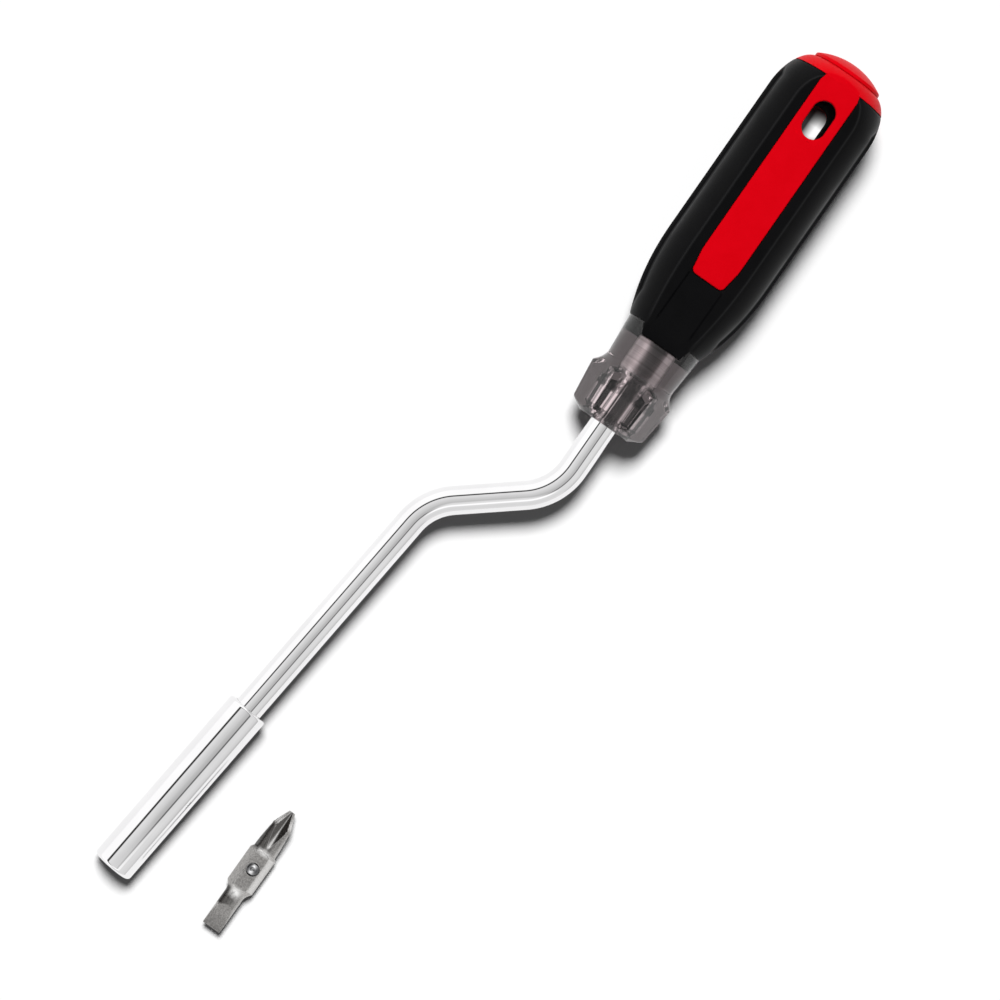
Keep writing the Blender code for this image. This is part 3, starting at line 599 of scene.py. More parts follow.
# %% Sleeve skin
SLEEVE_RADIUS, SLEEVE_LENGTH, SOCKET_DEPTH = 5.35, 51.0, 20.5
MOUTH_ROUND, SHOULDER_ROUND = 0.95, 0.8
SOCKET_APOTHEM = 3.25
COUNTERSINK_RADIUS, COUNTERSINK_SLOPE = 4.25, 0.9
SNAP_PLACE, SNAP_HALF, SNAP_RADIUS, SNAP_STEP = 3.4, 1.2, 4.125, 0.02
BORE_RADIUS, BORE_MOUTH, BORE_CHAMFER = 3.66, 3.95, 0.3
SLEEVE_COLUMNS = 120


def socket_bore(x, angle):
    """The hole's radius: the hexagon, or the countersink or the groove where they are wider."""
    hexagon = hexagon_reach(SOCKET_APOTHEM, angle)[None, :]
    countersink = COUNTERSINK_RADIUS - COUNTERSINK_SLOPE * x[:, None]
    groove = np.where(np.abs(x - SNAP_PLACE) < SNAP_HALF, SNAP_RADIUS, 0.0)[:, None]
    return np.maximum(np.maximum(hexagon, countersink), groove)


def rounded_end(radius):
    """A quarter circle at an end of the sleeve, as rows of how far in from it and how far out."""
    sweep = np.linspace(0.0, np.pi / 2, 8)
    return np.stack((radius * (1 - np.sin(sweep)), SLEEVE_RADIUS - radius * (1 - np.cos(sweep))), axis=1)


def sleeve_skin():
    """Outside rows from a rounded profile, inside rows from the bore, joined into a ring."""
    angle = around(SLEEVE_COLUMNS)
    front = rounded_end(MOUTH_ROUND)[::-1]
    rear = rounded_end(SHOULDER_ROUND) * (-1, 1) + (SLEEVE_LENGTH, 0)
    chamfer = ((SLEEVE_LENGTH, BORE_MOUTH), (SLEEVE_LENGTH - BORE_CHAMFER, BORE_RADIUS))
    outside = np.concatenate((front, rear, chamfer, ((SOCKET_DEPTH, BORE_RADIUS),)))
    snap = np.add.outer((SNAP_PLACE + SNAP_HALF, SNAP_PLACE - SNAP_HALF), (SNAP_STEP, -SNAP_STEP))
    lead_in = (1.3, 1.0, 0.8, 0.6, 0.45, 0.3, 0.15, 0.0)
    x = np.concatenate(((SOCKET_DEPTH, 12.0), snap.ravel(), lead_in))
    along = np.concatenate((outside[:, 0], x))
    radius = np.repeat(outside[:, 1:], SLEEVE_COLUMNS, axis=1)
    radius = np.concatenate((radius, socket_bore(x, angle)))
    return turned_points(along, radius, angle, DRIVER), quads(*radius.shape, loop_rows=True)


socket_sleeve = skin("socket_sleeve", *sleeve_skin())
dress(socket_sleeve, chrome, "driver", "bit_socket")

# %% [markdown]
# ## Smoked resin
# The bolster is a clear resin with a grey smoke in it. It bends light, so the shaft inside
# looks half as wide again. The smoke takes about half of the light and leaves the rest a
# little warm. Faint clouds in the tint keep it from looking like glass.

# %% Resin finish
resin = Finish("smoked_resin")
resin.set("IOR", 1.48)
resin.set("Transmission Weight", 1.0)
smoke = resin.effect(HANDLING, scale=120.0)["Mask"]
resin.set("Base Color", resin.tint(smoke, (0.49, 0.41, 0.42), (0.58, 0.49, 0.50)))
resin.set("Roughness", resin.spread(smoke, 0.02, 0.05))
print("finish:", resin.material.name)

# %% [markdown]
# ## Bolster
# The bolster is turned first: a coned front, a straight body, a quick fall to a waisted neck
# and a hidden spigot. Then six flats are cut, and they taper towards the front. The shape is
# the smaller of the two radii, with the crossing rounded. Its bore grips the winged shaft.

# %% Bolster skin
BOLSTER_CORE, CONE_SLOPE = 7.3, 1.5
HEX_CORNER, HEX_TAPER, HEX_EASE = 10.05, 0.125, 0.22
BOLSTER_HEX_END, BOLSTER_NECK_START = 12.0, 16.1
BOLSTER_OUTSIDE, NECK_RADIUS, NECK_END_RADIUS = 11.55, 9.45, 10.25
SPIGOT_RADIUS, SPIGOT_STEP, SPIGOT_NOSE, SPIGOT_END = 7.05, 40.2, 6.0, 52.2
MOULDED_GRIP = 0.02
MOULD_GAP = 0.15
GRIP_FRONT = 26.2
BOLSTER_NECK_END = GRIP_FRONT + MOULDED_GRIP
SHAFT_HOLE = SHAFT_RADIUS - MOULDED_GRIP
FRONT_STEPS = np.array((0.9, 0.25))


def bolster_turned(h):
    """Turned radius: a coned front, a straight body, and a fall that eases into the neck."""
    front = BOLSTER_CORE + CONE_SLOPE * h
    fall = np.clip((h - BOLSTER_HEX_END) / (BOLSTER_NECK_START - BOLSTER_HEX_END), 0, 1)
    body = NECK_RADIUS + (BOLSTER_OUTSIDE - NECK_RADIUS) * (1 - fall) ** 2
    neck = np.interp(h, (BOLSTER_NECK_START, BOLSTER_NECK_END), (NECK_RADIUS, NECK_END_RADIUS))
    return np.minimum(front, np.where(h < BOLSTER_NECK_START, body, neck))


def bolster_skin():
    """Rows out over the front, along the outside to the spigot's end, and back up the bore."""
    angle = ear_angles(168, np.pi / 2)
    h = np.concatenate((
        np.linspace(0, 0.3, 4),
        np.linspace(0.5, 3.5, 13),
        np.linspace(4, 11.6, 9),
        np.linspace(11.8, BOLSTER_NECK_START, 22),
        np.linspace(17, BOLSTER_NECK_END, 8),
    ))
    apothem = (HEX_CORNER + HEX_TAPER * h)[:, None] * np.cos(np.pi / 6)
    outside = eased_min(bolster_turned(h)[:, None], hexagon_reach(apothem, angle[None, :]), HEX_EASE)
    front = outside[:1] - FRONT_STEPS[:, None]
    spigot = np.array((
        (BOLSTER_NECK_END, SPIGOT_RADIUS),
        (SPIGOT_STEP, SPIGOT_RADIUS),
        (SPIGOT_STEP, SPIGOT_NOSE),
        (SPIGOT_END, SPIGOT_NOSE),
        (SPIGOT_END, SHAFT_HOLE),
    ))
    hole = np.concatenate(((40.0, TAIL_FULL, TAIL_START), wing_rows[::-1], (1.4, 0.0)))
    bore = wing_radius(hole, np.pi / 2 - angle[None, :]) - MOULDED_GRIP
    bore = np.where(winged(hole)[:, None], bore, SHAFT_HOLE)
    along = np.concatenate(((0.0, 0.0), h, spigot[:, 0], hole))
    radius = np.concatenate((front, outside, np.repeat(spigot[:, 1:], len(angle), axis=1), bore))
    return turned_points(along, radius, angle, HANDLE), quads(*radius.shape, loop_rows=True)


bolster_resin = skin("bolster_resin", *bolster_skin())
print("points in the bolster:", len(bolster_resin.data.vertices))

# %% [markdown]
# ## Tongue recess
# On each face the grip sends a short tongue forward over the neck. The resin has a matching
# recess, which is cut with a prism that has the tongue's plan. Rubber bonds to resin without
# any air between them, so the resin overlaps it by a hair, and its black shows through.

# %% Tongue recess
TONGUE_FRONT, TONGUE_TIP, TONGUE_ROOT = 23.2, 5.5, 6.7
RECESS_FLOOR, RECESS_TOP = SPIGOT_RADIUS + MOULD_GAP + MOULDED_GRIP, 14.0
RECESS_OVERRUN = 1.0


def prism(name, outline, low, high, where):
    """A plan outline drawn from one height to another, with a fan to its middle at each end."""
    outline = np.asarray(outline, float)
    middle = np.repeat(outline.mean(axis=0, keepdims=True), len(outline), axis=0)
    rows = [np.column_stack((plan, np.full(len(plan), z)))
            for plan, z in ((middle, low), (outline, low), (outline, high), (middle, high))]
    return skin(name, place(np.concatenate(rows), where), quads(4, len(outline)))


recess_tip, recess_root = TONGUE_TIP - MOULDED_GRIP, TONGUE_ROOT - MOULDED_GRIP
half_plan = np.array((
    (TONGUE_FRONT + MOULDED_GRIP, recess_tip),
    (GRIP_FRONT, recess_root),
    (BOLSTER_NECK_END + RECESS_OVERRUN, recess_root),
))
tongue_plan = np.concatenate((half_plan * (1, -1), half_plan[::-1]))
carve(bolster_resin, [
    prism("recess_above", tongue_plan, RECESS_FLOOR, RECESS_TOP, HANDLE),
    prism("recess_below", tongue_plan, -RECESS_TOP, -RECESS_FLOOR, HANDLE),
], sharp=25.0)
dress(bolster_resin, resin, "driver", "bolster")

# %% [markdown]
# ## Soft black overmould
# The grip is a thermoplastic rubber. It is almost black, it scatters light widely, and the
# mould leaves a fine matt grain. A paler colour along each ridge is a painted highlight, and
# the sunk places that no hand reaches stay dull, so both are masks on the mesh.

# %% Elastomer finish
elastomer = Finish("black_elastomer")
grain = elastomer.effect(FINE_GRAIN, scale=2600.0)
wear = elastomer.effect(HANDLING, scale=70.0)["Mask"]
rubber = elastomer.tint(grain["Tone"], (0.0012, 0.0012, 0.0014), (0.0034, 0.0034, 0.0037))
# The paler colour along the ridges is a painted highlight.
elastomer.set("Base Color", elastomer.tint(elastomer.mask("ridge"), rubber, (0.014, 0.014, 0.0145)))
satin = elastomer.spread(wear, 0.40, 0.50)
elastomer.set("Roughness", elastomer.sum("MAXIMUM", satin, elastomer.mask("dull")))
elastomer.set("Specular IOR Level", 0.06)
elastomer.bump(grain["Height"], 0.00003)
print("finish:", elastomer.material.name)

# %% [markdown]
# ## Grip sections
# The grip swells behind the neck, runs straight and rounds off at the butt. A cut across it
# shows a sunk valley on each face with a ridge on each side, a long corner lobe, a crease
# and a side lobe. These formulas give that cut at any place along the handle.

# %% Grip formulas
GRIP_REAR, SWELL_LENGTH, SWELL_EASE = 100.5, 23.9, 2.2
GRIP_FRONT_RADIUS, GRIP_RADIUS = 10.4, 14.65
VALLEY_DEPTH, RIDGE_HALF_WIDTH, LEAST_RIDGE_ANGLE = 0.45, 8.3, np.radians(12.0)
FACE_FRONT, FACE_HEIGHT = 8.5, np.sqrt(GRIP_RADIUS**2 - RIDGE_HALF_WIDTH**2)
SHOULDER_START, SHOULDER_LENGTH, SHOULDER_BASE = 92.0, 12.0, 8.2
CREASE_ANGLE, CREASE_DEPTH, LEAST_CREASE = np.radians(71.0), 0.5, 0.05
CREASE_FRONT, CREASE_RISE = GRIP_FRONT + 0.5, 6.0
CREASE_REAR, CREASE_FALL = GRIP_REAR - 1.5, 4.0
CHANNEL_HALF, CHANNEL_WALL, BAND_DEPTH = 4.8, 0.45, 0.12
TIP_WALL, TIP_FADE = 1.6, 3.2


def swell(h):
    """Share of the swell at h: an ease-out that is 0 at the front and 1 where the barrel starts."""
    return 1 - (1 - np.clip((h - GRIP_FRONT) / SWELL_LENGTH, 0, 1)) ** SWELL_EASE


def barrel_radius(h):
    """Outer radius of the handle: the swell, the straight barrel, then a quarter ellipse."""
    front = GRIP_FRONT_RADIUS + (GRIP_RADIUS - GRIP_FRONT_RADIUS) * swell(h)
    share = np.clip((h - SHOULDER_START) / SHOULDER_LENGTH, 0, 1)
    shoulder = SHOULDER_BASE + (GRIP_RADIUS - SHOULDER_BASE) * np.sqrt(1 - share**2)
    return np.where(h < SHOULDER_START, front, shoulder)


def face_height(h):
    """Height of the ridges over the axis, with the same ease as the swell."""
    return FACE_FRONT + (FACE_HEIGHT - FACE_FRONT) * swell(h)


def ridge_angle(h):
    """Angle from the top at which the face meets the barrel, and never less than 12 degrees."""
    return np.arccos(np.minimum(face_height(h) / barrel_radius(h), np.cos(LEAST_RIDGE_ANGLE)))


def crease_strength(h):
    """The crease grows in over 6 mm behind the front and fades out over 4 mm at the butt."""
    front, rear = (h - CREASE_FRONT) / CREASE_RISE, (CREASE_REAR - h) / CREASE_FALL
    return np.clip(np.minimum(front, rear), LEAST_CREASE, 1.0)


def channel_wall(h):
    """Width of the channel's wall: broad and soft at the tip of the tongue, then quick."""
    return np.interp(h, (GRIP_FRONT, GRIP_FRONT + TIP_FADE), (TIP_WALL, CHANNEL_WALL))


def behind_tip(h):
    """Goes from 0 at the front of the grip to 1 where its lines are at full strength."""
    return np.clip((h - GRIP_FRONT) / TIP_FADE, 0, 1)


measured = np.array((30.0, 60.0, 100.0))
print("barrel radius at", measured, "mm:", np.round(barrel_radius(measured), 2))

# %% [markdown]
# ## Window and tongue outlines
# A red panel shows through a window in each face. The window has a blunt nose with round
# corners, then widens a little and runs out at the butt. The signed distance from a point to
# that outline rolls the rubber's edge over, as a mould does.

# %% Grip outlines
WINDOW_FRONT, WINDOW_CORNER = 42.54, 1.46
WINDOW_NOSE_FLAT = 3.25
WINDOW_NOSE, WINDOW_HALF = 4.71, 5.46
WINDOW_WAIST = 48.6
CORNER_END = WINDOW_FRONT + WINDOW_CORNER


def window_half(h):
    """Half width of the window behind its corners."""
    return np.interp(h, (CORNER_END, WINDOW_WAIST), (WINDOW_NOSE, WINDOW_HALF))


def window_distance(h, y):
    """Distance outside the window: to its front edge, its corner's arc or its side."""
    corner = np.hypot(h - CORNER_END, y - WINDOW_NOSE_FLAT) - WINDOW_CORNER
    ahead = np.where(y < WINDOW_NOSE_FLAT, WINDOW_FRONT - h, corner)
    return np.where(h < CORNER_END, ahead, y - window_half(h))


def grip_front(y):
    """Front edge of the grip: the tongue's tip, its slanted sides, then the shoulder."""
    return np.interp(y, (TONGUE_TIP, TONGUE_ROOT), (TONGUE_FRONT, GRIP_FRONT))


def window_edge(y):
    """Where rows ahead of the window end: its flat nose, then the arc of its corner."""
    beside = np.clip(y - WINDOW_NOSE_FLAT, 0.0, WINDOW_CORNER)
    return CORNER_END - np.sqrt(WINDOW_CORNER**2 - beside**2)


print("window runs from", WINDOW_FRONT, "to the butt at", GRIP_REAR)

# %% [markdown]
# ## Grip skin
# Two grids make one half of the outside, and their mirror images make the other. The first
# runs from the tongue to the front of the windows, and the second beside them to the butt.
# Both follow the window's edge exactly, so the edge is crisp. A second skin, just outside the
# pieces that the grip holds, and a wall along every rim make it a real shell.

# %% Grip section
nose_flat = np.linspace(0, 1, 7)[:-1] * WINDOW_NOSE_FLAT
nose_corner = WINDOW_NOSE_FLAT + WINDOW_CORNER * np.sin(np.linspace(0, np.pi / 2, 9))
FACE_SHARES = np.concatenate((nose_flat, nose_corner)) / WINDOW_NOSE
SIDE_SHARES = np.concatenate(((0.0, 0.02, 0.05, 0.09, 0.14), np.linspace(0.2, 1.0, 11)))
lobe_steps = (np.linspace(0, 0.16, 7)[1:], np.linspace(0.22, 0.86, 12), np.linspace(0.89, 1, 6))
LOBE_SHARES = np.concatenate(lobe_steps)
CREASE_SHARES = np.linspace(0, 1, 9)
EDGE_LIMIT = 0.93


def grip_quadrant(h, zone, share):
    """Across and up of points from the window's edge to the side of the grip.

    Zone 0 is the middle of the face, 1 the face beside the window, 2 the lobe, 3 the side.
    The face is a channel, a quick wall and a band that climbs to the ridge. The lobe is the
    barrel's radius less the crease, which deepens with a high power of the share."""
    radius, start, strength = barrel_radius(h), ridge_angle(h), crease_strength(h)
    ridge, top = round_section(radius, start)
    edge = np.minimum(window_half(h), EDGE_LIMIT * ridge)
    y = np.where(zone == 0, edge * share, edge + (ridge - edge) * share)
    climb = BAND_DEPTH * (1 - np.clip((y - CHANNEL_HALF) / (ridge - CHANNEL_HALF), 0, 1) ** 2)
    wall = np.clip((y - CHANNEL_HALF) / channel_wall(h) + 0.5, 0, 1)
    channel = (VALLEY_DEPTH - BAND_DEPTH) * (1 - wall**2 * (3 - 2 * wall))
    z = top - (climb + channel) * ridge / RIDGE_HALF_WIDTH
    crease = np.pi / 2 - (np.pi / 2 - CREASE_ANGLE) * strength
    sunk = CREASE_DEPTH * strength
    angle = np.where(zone == 2, start + (crease - start) * share, crease + (np.pi / 2 - crease) * share)
    depth = np.where(zone == 2, sunk * share**5, sunk * (1 - share) ** 3)
    lobe_y, lobe_z = round_section(radius - depth, angle)
    return np.where(zone < 2, y, lobe_y), np.where(zone < 2, z, lobe_z)


zone_shares = (FACE_SHARES, SIDE_SHARES[1:], LOBE_SHARES, CREASE_SHARES[1:])
zones = np.repeat((0, 1, 2, 3), [len(share) for share in zone_shares])
shares = np.concatenate(zone_shares)
window_column = len(FACE_SHARES) - 1
print("columns in a quarter of the grip:", len(zones))

# %% Grip sheets
SOFTENING, LIP = 3, 0.4
CORE_RADIUS, CORE_STEP = 9.47, WINDOW_FRONT - 0.5
SIDE_START, RIDGE_LINE = 0.1, 0.24


def rounded_across(values, passes):
    """Rounds a section: each point moves a quarter of the way to each neighbour, a few times."""
    for _ in range(passes):
        values[:, 1:-1] = 0.25 * values[:, :-2] + 0.5 * values[:, 1:-1] + 0.25 * values[:, 2:]
    return values


def to_bottom(sheet, flip=1.0):
    """A sheet from the top to the side, then its mirror image from the side to the bottom."""
    return np.concatenate((sheet, sheet[:, -2::-1] * flip), axis=1)


def lining(h, y, z, zone, ridge):
    """Inner points: straight below those of the face, then spread by turn from ridge to side."""
    cavity = np.where(h < CORE_STEP, SPIGOT_RADIUS, CORE_RADIUS) + MOULD_GAP
    under_face = np.maximum(np.arcsin(np.clip(y / cavity, 0, 1)), 0)
    outside = np.arctan2(y, z)
    spread = np.clip((outside - outside[:, ridge]) / (np.pi / 2 - outside[:, ridge]), 0, 1)
    under_side = under_face[:, ridge] + (np.pi / 2 - under_face[:, ridge]) * spread
    return np.stack((h, *round_section(cavity, np.where(zone < 2, under_face, under_side))), axis=-1)


def grip_marks(h, y, z, zone, share, ridge):
    """Two masks: dull on the side lobe and the channel's walls, and a painted highlight along the ridge."""
    side = np.where((zone == 3) & (share > SIDE_START), crease_strength(h), 0.0)
    wall = np.exp(-(((y - CHANNEL_HALF) / CHANNEL_WALL) ** 2)) * behind_tip(h)
    channel = np.where((zone < 2) & (h < WINDOW_FRONT), wall, 0.0)
    from_ridge = np.hypot(y - y[:, ridge], z - z[:, ridge])
    ridge_highlight = np.exp(-((from_ridge / RIDGE_LINE) ** 2)) * behind_tip(h)
    return np.maximum(side, channel), ridge_highlight


def half_sheet(h, zone, share):
    """Outer points, inner points and both masks, from the top over one side to the bottom.

    Near a rim the outside falls by a quarter circle: down on the face, inwards on the side."""
    y, z = (rounded_across(values, SOFTENING) for values in grip_quadrant(h, zone, share))
    y[:, 0] = 0.0 if zone[0] == 0 else window_half(h[:, 0])
    rim = np.minimum(h - grip_front(y), GRIP_REAR - h)
    fall = np.maximum(rolled_edge(window_distance(h, y), LIP), rolled_edge(rim, LIP))
    shrink = 1 - fall / np.hypot(y, z)
    fallen = (np.where(zone < 2, y, y * shrink), np.where(zone < 2, z - fall, z * shrink))
    last = np.argmax(zone == 2) - 1
    ridge = slice(last, last + 1)
    sheets = (np.stack((h, *fallen), axis=-1), lining(h, y, z, zone, ridge))
    outer, inner = (to_bottom(sheet, (1, 1, -1)) for sheet in sheets)
    dull, ridge_highlight = (to_bottom(mask) for mask in grip_marks(h, y, z, zone, share, ridge))
    return outer, inner, dull, ridge_highlight


print("the grip's rims roll over in", LIP, "mm")

# %% Grip rows
ROW_EASE = np.concatenate(((0.0, 0.06, 0.14, 0.25, 0.42), np.linspace(0.75, 18.2, 44)))
ROW_SPAN = 19.0
front_y = grip_quadrant(np.full((1, len(zones)), GRIP_FRONT), zones, shares)[0][0]
edge_y = grip_quadrant(np.full((1, len(zones)), CORNER_END), zones, shares)[0][0]
front_line = grip_front(front_y)
edge_line = np.where(zones == 0, window_edge(edge_y), CORNER_END)
from_front, from_edge = ROW_EASE / ROW_SPAN, 1 - ROW_EASE[:6] / ROW_SPAN
steps = np.unique(np.concatenate((from_front, from_edge, (1.0,))))[:, None]
front_h = front_line + (edge_line - front_line) * steps
rear_steps = np.concatenate((
    np.linspace(CORNER_END, SHOULDER_START, 52),
    np.linspace(SHOULDER_START + 0.4, GRIP_REAR - 0.8, 16),
    GRIP_REAR - np.array((0.5, 0.3, 0.18, 0.08, 0.0)),
))
rear_zones, rear_shares = zones[window_column:].copy(), shares[window_column:].copy()
rear_zones[0], rear_shares[0] = 1, 0.0
rear_h = np.repeat(rear_steps[:, None], len(rear_zones), axis=1)
print("rows ahead of the window:", len(steps), "and beside it:", len(rear_steps))

# %% Grip shell


def both_sides(sheet):
    """A sheet and its mirror image across the handle."""
    return [sheet, sheet * np.array((1, -1, 1))]


def rim_edges(faces):
    """Edges that only one quad uses, which are the rims of an open skin."""
    ends = np.concatenate([np.stack((faces[:, i], faces[:, (i + 1) % 4]), 1) for i in range(4)])
    _, first, count = np.unique(np.sort(ends, axis=1), axis=0, return_index=True, return_counts=True)
    return ends[first[count == 1]]


def welded_numbers(points):
    """The number of the first point at the same place, so that sheets share their edges."""
    _, first, same = np.unique(np.round(points, 4), axis=0, return_index=True, return_inverse=True)
    return first[same.reshape(-1)]


def grip_shell():
    """All outer sheets, all inner ones behind them, and a wall on every edge that stays open."""
    outer, inner, faces, dulls, ridge_highlights, count = [], [], [], [], [], 0
    for h, zone, share in ((front_h, zones, shares), (rear_h, rear_zones, rear_shares)):
        out, back, dull, ridge_highlight = half_sheet(h, zone, share)
        for out_side, back_side in zip(both_sides(out), both_sides(back)):
            faces.append(quads(*dull.shape, loop_columns=False) + count)
            count += dull.size
            outer.append(out_side.reshape(-1, 3))
            inner.append(back_side.reshape(-1, 3))
            dulls.append(dull.ravel())
            ridge_highlights.append(ridge_highlight.ravel())
    outer, inner, faces = np.concatenate(outer), np.concatenate(inner), np.concatenate(faces)
    faces = welded_numbers(outer)[faces]
    rim = rim_edges(faces)
    wall = np.column_stack((rim, rim[:, ::-1] + count))
    points = place(np.concatenate((outer, inner)), HANDLE)
    behind = [np.zeros(count)]
    masks = {"dull": np.concatenate(dulls + behind), "ridge": np.concatenate(ridge_highlights + behind)}
    return points, np.concatenate((faces, faces[:, ::-1] + count, wall)), masks


grip_points, grip_faces, grip_masks = grip_shell()
grip_cushion = skin("grip_cushion", grip_points, grip_faces, sharp=50.0, masks=grip_masks)
print("open edges in the grip:", len(rim_edges(grip_faces)))
dress(grip_cushion, elastomer, "driver", "cushion_grip")

# %% [markdown]
# ## Red moulding
# The core and the end disc are a hard red plastic with a satin surface. The colour is strong
# and even, so the detail is in the gloss: a very fine grain and faint clouds of polish.

# %% Red finish
red = Finish("red_plastic")
red_grain = red.effect(FINE_GRAIN, scale=3200.0)
red_clouds = red.effect(HANDLING, scale=60.0)["Mask"]
red.set("Base Color", red.tint(red_grain["Tone"], (0.62, 0.0, 0.004), (0.70, 0.001, 0.007)))
red.set("Roughness", red.spread(red_clouds, 0.42, 0.50))
red.set("Specular IOR Level", 0.07)
red.bump(red_grain["Height"], 0.000015)
print("finish:", red.material.name)

# %% [markdown]
# ## Core
# The core is a barrel with a raised panel on each face and a ring at the butt. Each row is a
# cut across it: the panel's top, its rounded edge, its side wall and the barrel. The slot, the
# bores for the shaft and spigot, and the seat of the end disc are then cut out.

# %% Core sections
PANEL_SUNK, PANEL_EDGE = 0.35, 0.35
PANEL_TOP = FACE_HEIGHT - PANEL_SUNK
PANEL_FRONT, PANEL_CORNER = 42.6, 1.4
PANEL_NOSE, PANEL_HALF = 4.65, 5.4
PANEL_CORNER_END = PANEL_FRONT + PANEL_CORNER
LEAST_FLAT_ANGLE = np.radians(3.0)


def panel_half(h):
    """Half width of a panel: the arc of its nose corner, a taper, then straight sides."""
    ahead = np.clip(PANEL_CORNER_END - h, 0.0, PANEL_CORNER)
    nose = PANEL_NOSE - PANEL_CORNER + np.sqrt(PANEL_CORNER**2 - ahead**2)
    behind = np.interp(h, (PANEL_CORNER_END, WINDOW_WAIST), (PANEL_NOSE, PANEL_HALF))
    return np.where(h < PANEL_CORNER_END, nose, behind)


def core_quadrant(h, raised):
    """Across and up from the top of a cut to its side: panel, rounded edge, wall, barrel."""
    in_barrel = np.sqrt(np.maximum(barrel_radius(h) ** 2 - PANEL_TOP**2, 0.01))
    half = np.minimum(panel_half(h), in_barrel)[:, None]
    level = np.minimum(face_height(h) - PANEL_SUNK, PANEL_TOP)
    top = (level - rolled_edge(h - PANEL_FRONT, PANEL_EDGE))[:, None]
    sweep = np.linspace(0, np.pi / 2, 7)[None, :]
    y = np.concatenate((0 * half, half - PANEL_EDGE + PANEL_EDGE * np.sin(sweep)), axis=1)
    z = np.concatenate((top, top - PANEL_EDGE + PANEL_EDGE * np.cos(sweep)), axis=1)
    z = np.where(raised[:, None], z, np.sqrt(np.maximum(CORE_RADIUS**2 - y**2, 0)))
    turn = np.arcsin(half / CORE_RADIUS)
    to_side = turn + (np.pi / 2 - turn) * np.linspace(0, 1, 14)[None, :]
    barrel_y, barrel_z = round_section(CORE_RADIUS, to_side)
    return np.concatenate((y, barrel_y), axis=1), np.concatenate((z, barrel_z), axis=1)


def ring_quadrant(h, columns):
    """A circle of the barrel's radius with the panel's flat cut across its top."""
    radius = barrel_radius(h)
    start = np.arccos(np.minimum(PANEL_TOP / radius, np.cos(LEAST_FLAT_ANGLE)))[:, None]
    turn = start + (np.pi / 2 - start) * np.linspace(0, 1, columns - 1)[None, :]
    y, z = round_section(radius[:, None], turn)
    return np.concatenate((0 * start, y), axis=1), np.concatenate((z[:, :1], z), axis=1)


def whole_ring(y, z):
    """A quarter cut mirrored to the bottom, then to the other side."""
    y, z = to_bottom(y), to_bottom(z, -1.0)
    return np.concatenate((y, -y[:, -2:0:-1]), axis=1), np.concatenate((z, z[:, -2:0:-1]), axis=1)


print("panel stands at, mm:", np.round(PANEL_TOP, 2))

# %% Core skin
CORE_FRONT, RING_START, RING_END, RING_ROUND = 40.5, 100.56, 103.8, 0.25


def core_skin():
    """The spigot's seat, the nose, the panels, then the ring, each as rows of whole cuts."""
    nose = PANEL_FRONT + PANEL_CORNER * (1 - np.cos(np.linspace(0, np.pi / 2, 14)))
    h = np.concatenate(((PANEL_FRONT,), nose, np.linspace(44.6, 84.0, 22), (RING_START - 1.5, RING_START)))
    raised = np.arange(len(h)) > 0
    y, z = core_quadrant(h, raised)
    ring_h = np.linspace(RING_START, RING_END - RING_ROUND, 16)
    ring_h = np.concatenate((ring_h, RING_END - np.array((0.15, 0.07, 0.0))))
    ring_y, ring_z = ring_quadrant(ring_h, y.shape[1])
    soft = (1 - rolled_edge(RING_END - ring_h, RING_ROUND) / barrel_radius(ring_h))[:, None]
    seat = np.full(2, SPIGOT_RADIUS)[:, None] / np.hypot(y[:1], z[:1])
    along = np.concatenate(((CORE_FRONT, CORE_FRONT, PANEL_FRONT), h, ring_h, (RING_END,)))
    y = np.concatenate((0 * y[:1], y[:1] * seat, y, ring_y * soft, 0 * y[:1]))
    z = np.concatenate((0 * z[:1], z[:1] * seat, z, ring_z * soft, 0 * z[:1]))
    y, z = whole_ring(y, z)
    x = np.broadcast_to(along[:, None], y.shape)
    return place(np.stack((x, y, z), axis=-1).reshape(-1, 3), HANDLE), quads(*y.shape)


red_core = skin("red_core", *core_skin(), sharp=40.0)
print("points in the core:", len(red_core.data.vertices))

# %% Slot cutter
SLOT_PLACE, SLOT_LENGTH, SLOT_WIDTH, SLOT_RIM = 90.2, 10.1, 5.9, 0.45
CUT_BEYOND = 1.0


def slot_plan(grow, steps=20):
    """Plan of the slot as along and across: an arc at its rear end, then the same arc turned round."""
    radius, reach = SLOT_WIDTH / 2 + grow, (SLOT_LENGTH - SLOT_WIDTH) / 2
    sweep = np.linspace(-np.pi / 2, np.pi / 2, steps)
    rear = np.stack((reach + radius * np.cos(sweep), radius * np.sin(sweep)), axis=1)
    return np.concatenate((rear, -rear)) + (SLOT_PLACE, 0.0)


def carried_plan(plans, levels):
    """World points of plans that are stacked at their levels."""
    up = np.broadcast_to(np.asarray(levels)[:, None, None], plans.shape[:2] + (1,))
    return place(np.concatenate((plans, up), axis=-1).reshape(-1, 3), HANDLE)


def slot_cutter():
    """The slot drawn through the handle, flared at each face by a quarter circle for a soft rim."""
    sweep = np.linspace(np.pi / 2, 0, 7)
    flare = SLOT_RIM * (1 - np.sin(sweep))
    level = PANEL_TOP - SLOT_RIM * (1 - np.cos(sweep))
    top = PANEL_TOP + CUT_BEYOND
    grows = np.concatenate((flare[-1:], flare[::-1], flare, flare[-1:]))
    levels = np.concatenate(((-top, -top), -level[::-1], level, (top, top)))
    middle = np.tile((SLOT_PLACE, 0.0), (len(slot_plan(0.0)), 1))
    plans = np.stack([middle] + [slot_plan(grow) for grow in grows] + [middle])
    return skin("slot_cutter", carried_plan(plans, levels), quads(*plans.shape[:2]))


print("slot is", SLOT_LENGTH, "by", SLOT_WIDTH, "mm")

# %% Core cuts
LINER_WALL, LINER_HALF_HEIGHT = 0.6, PANEL_TOP - 0.8
DISC_SPIGOT, DISC_SPIGOT_FRONT = 5.5, 99.9
END_GAP = 0.3
CUT_FRONT, CUT_REAR = CORE_FRONT - 1.5, 106.0


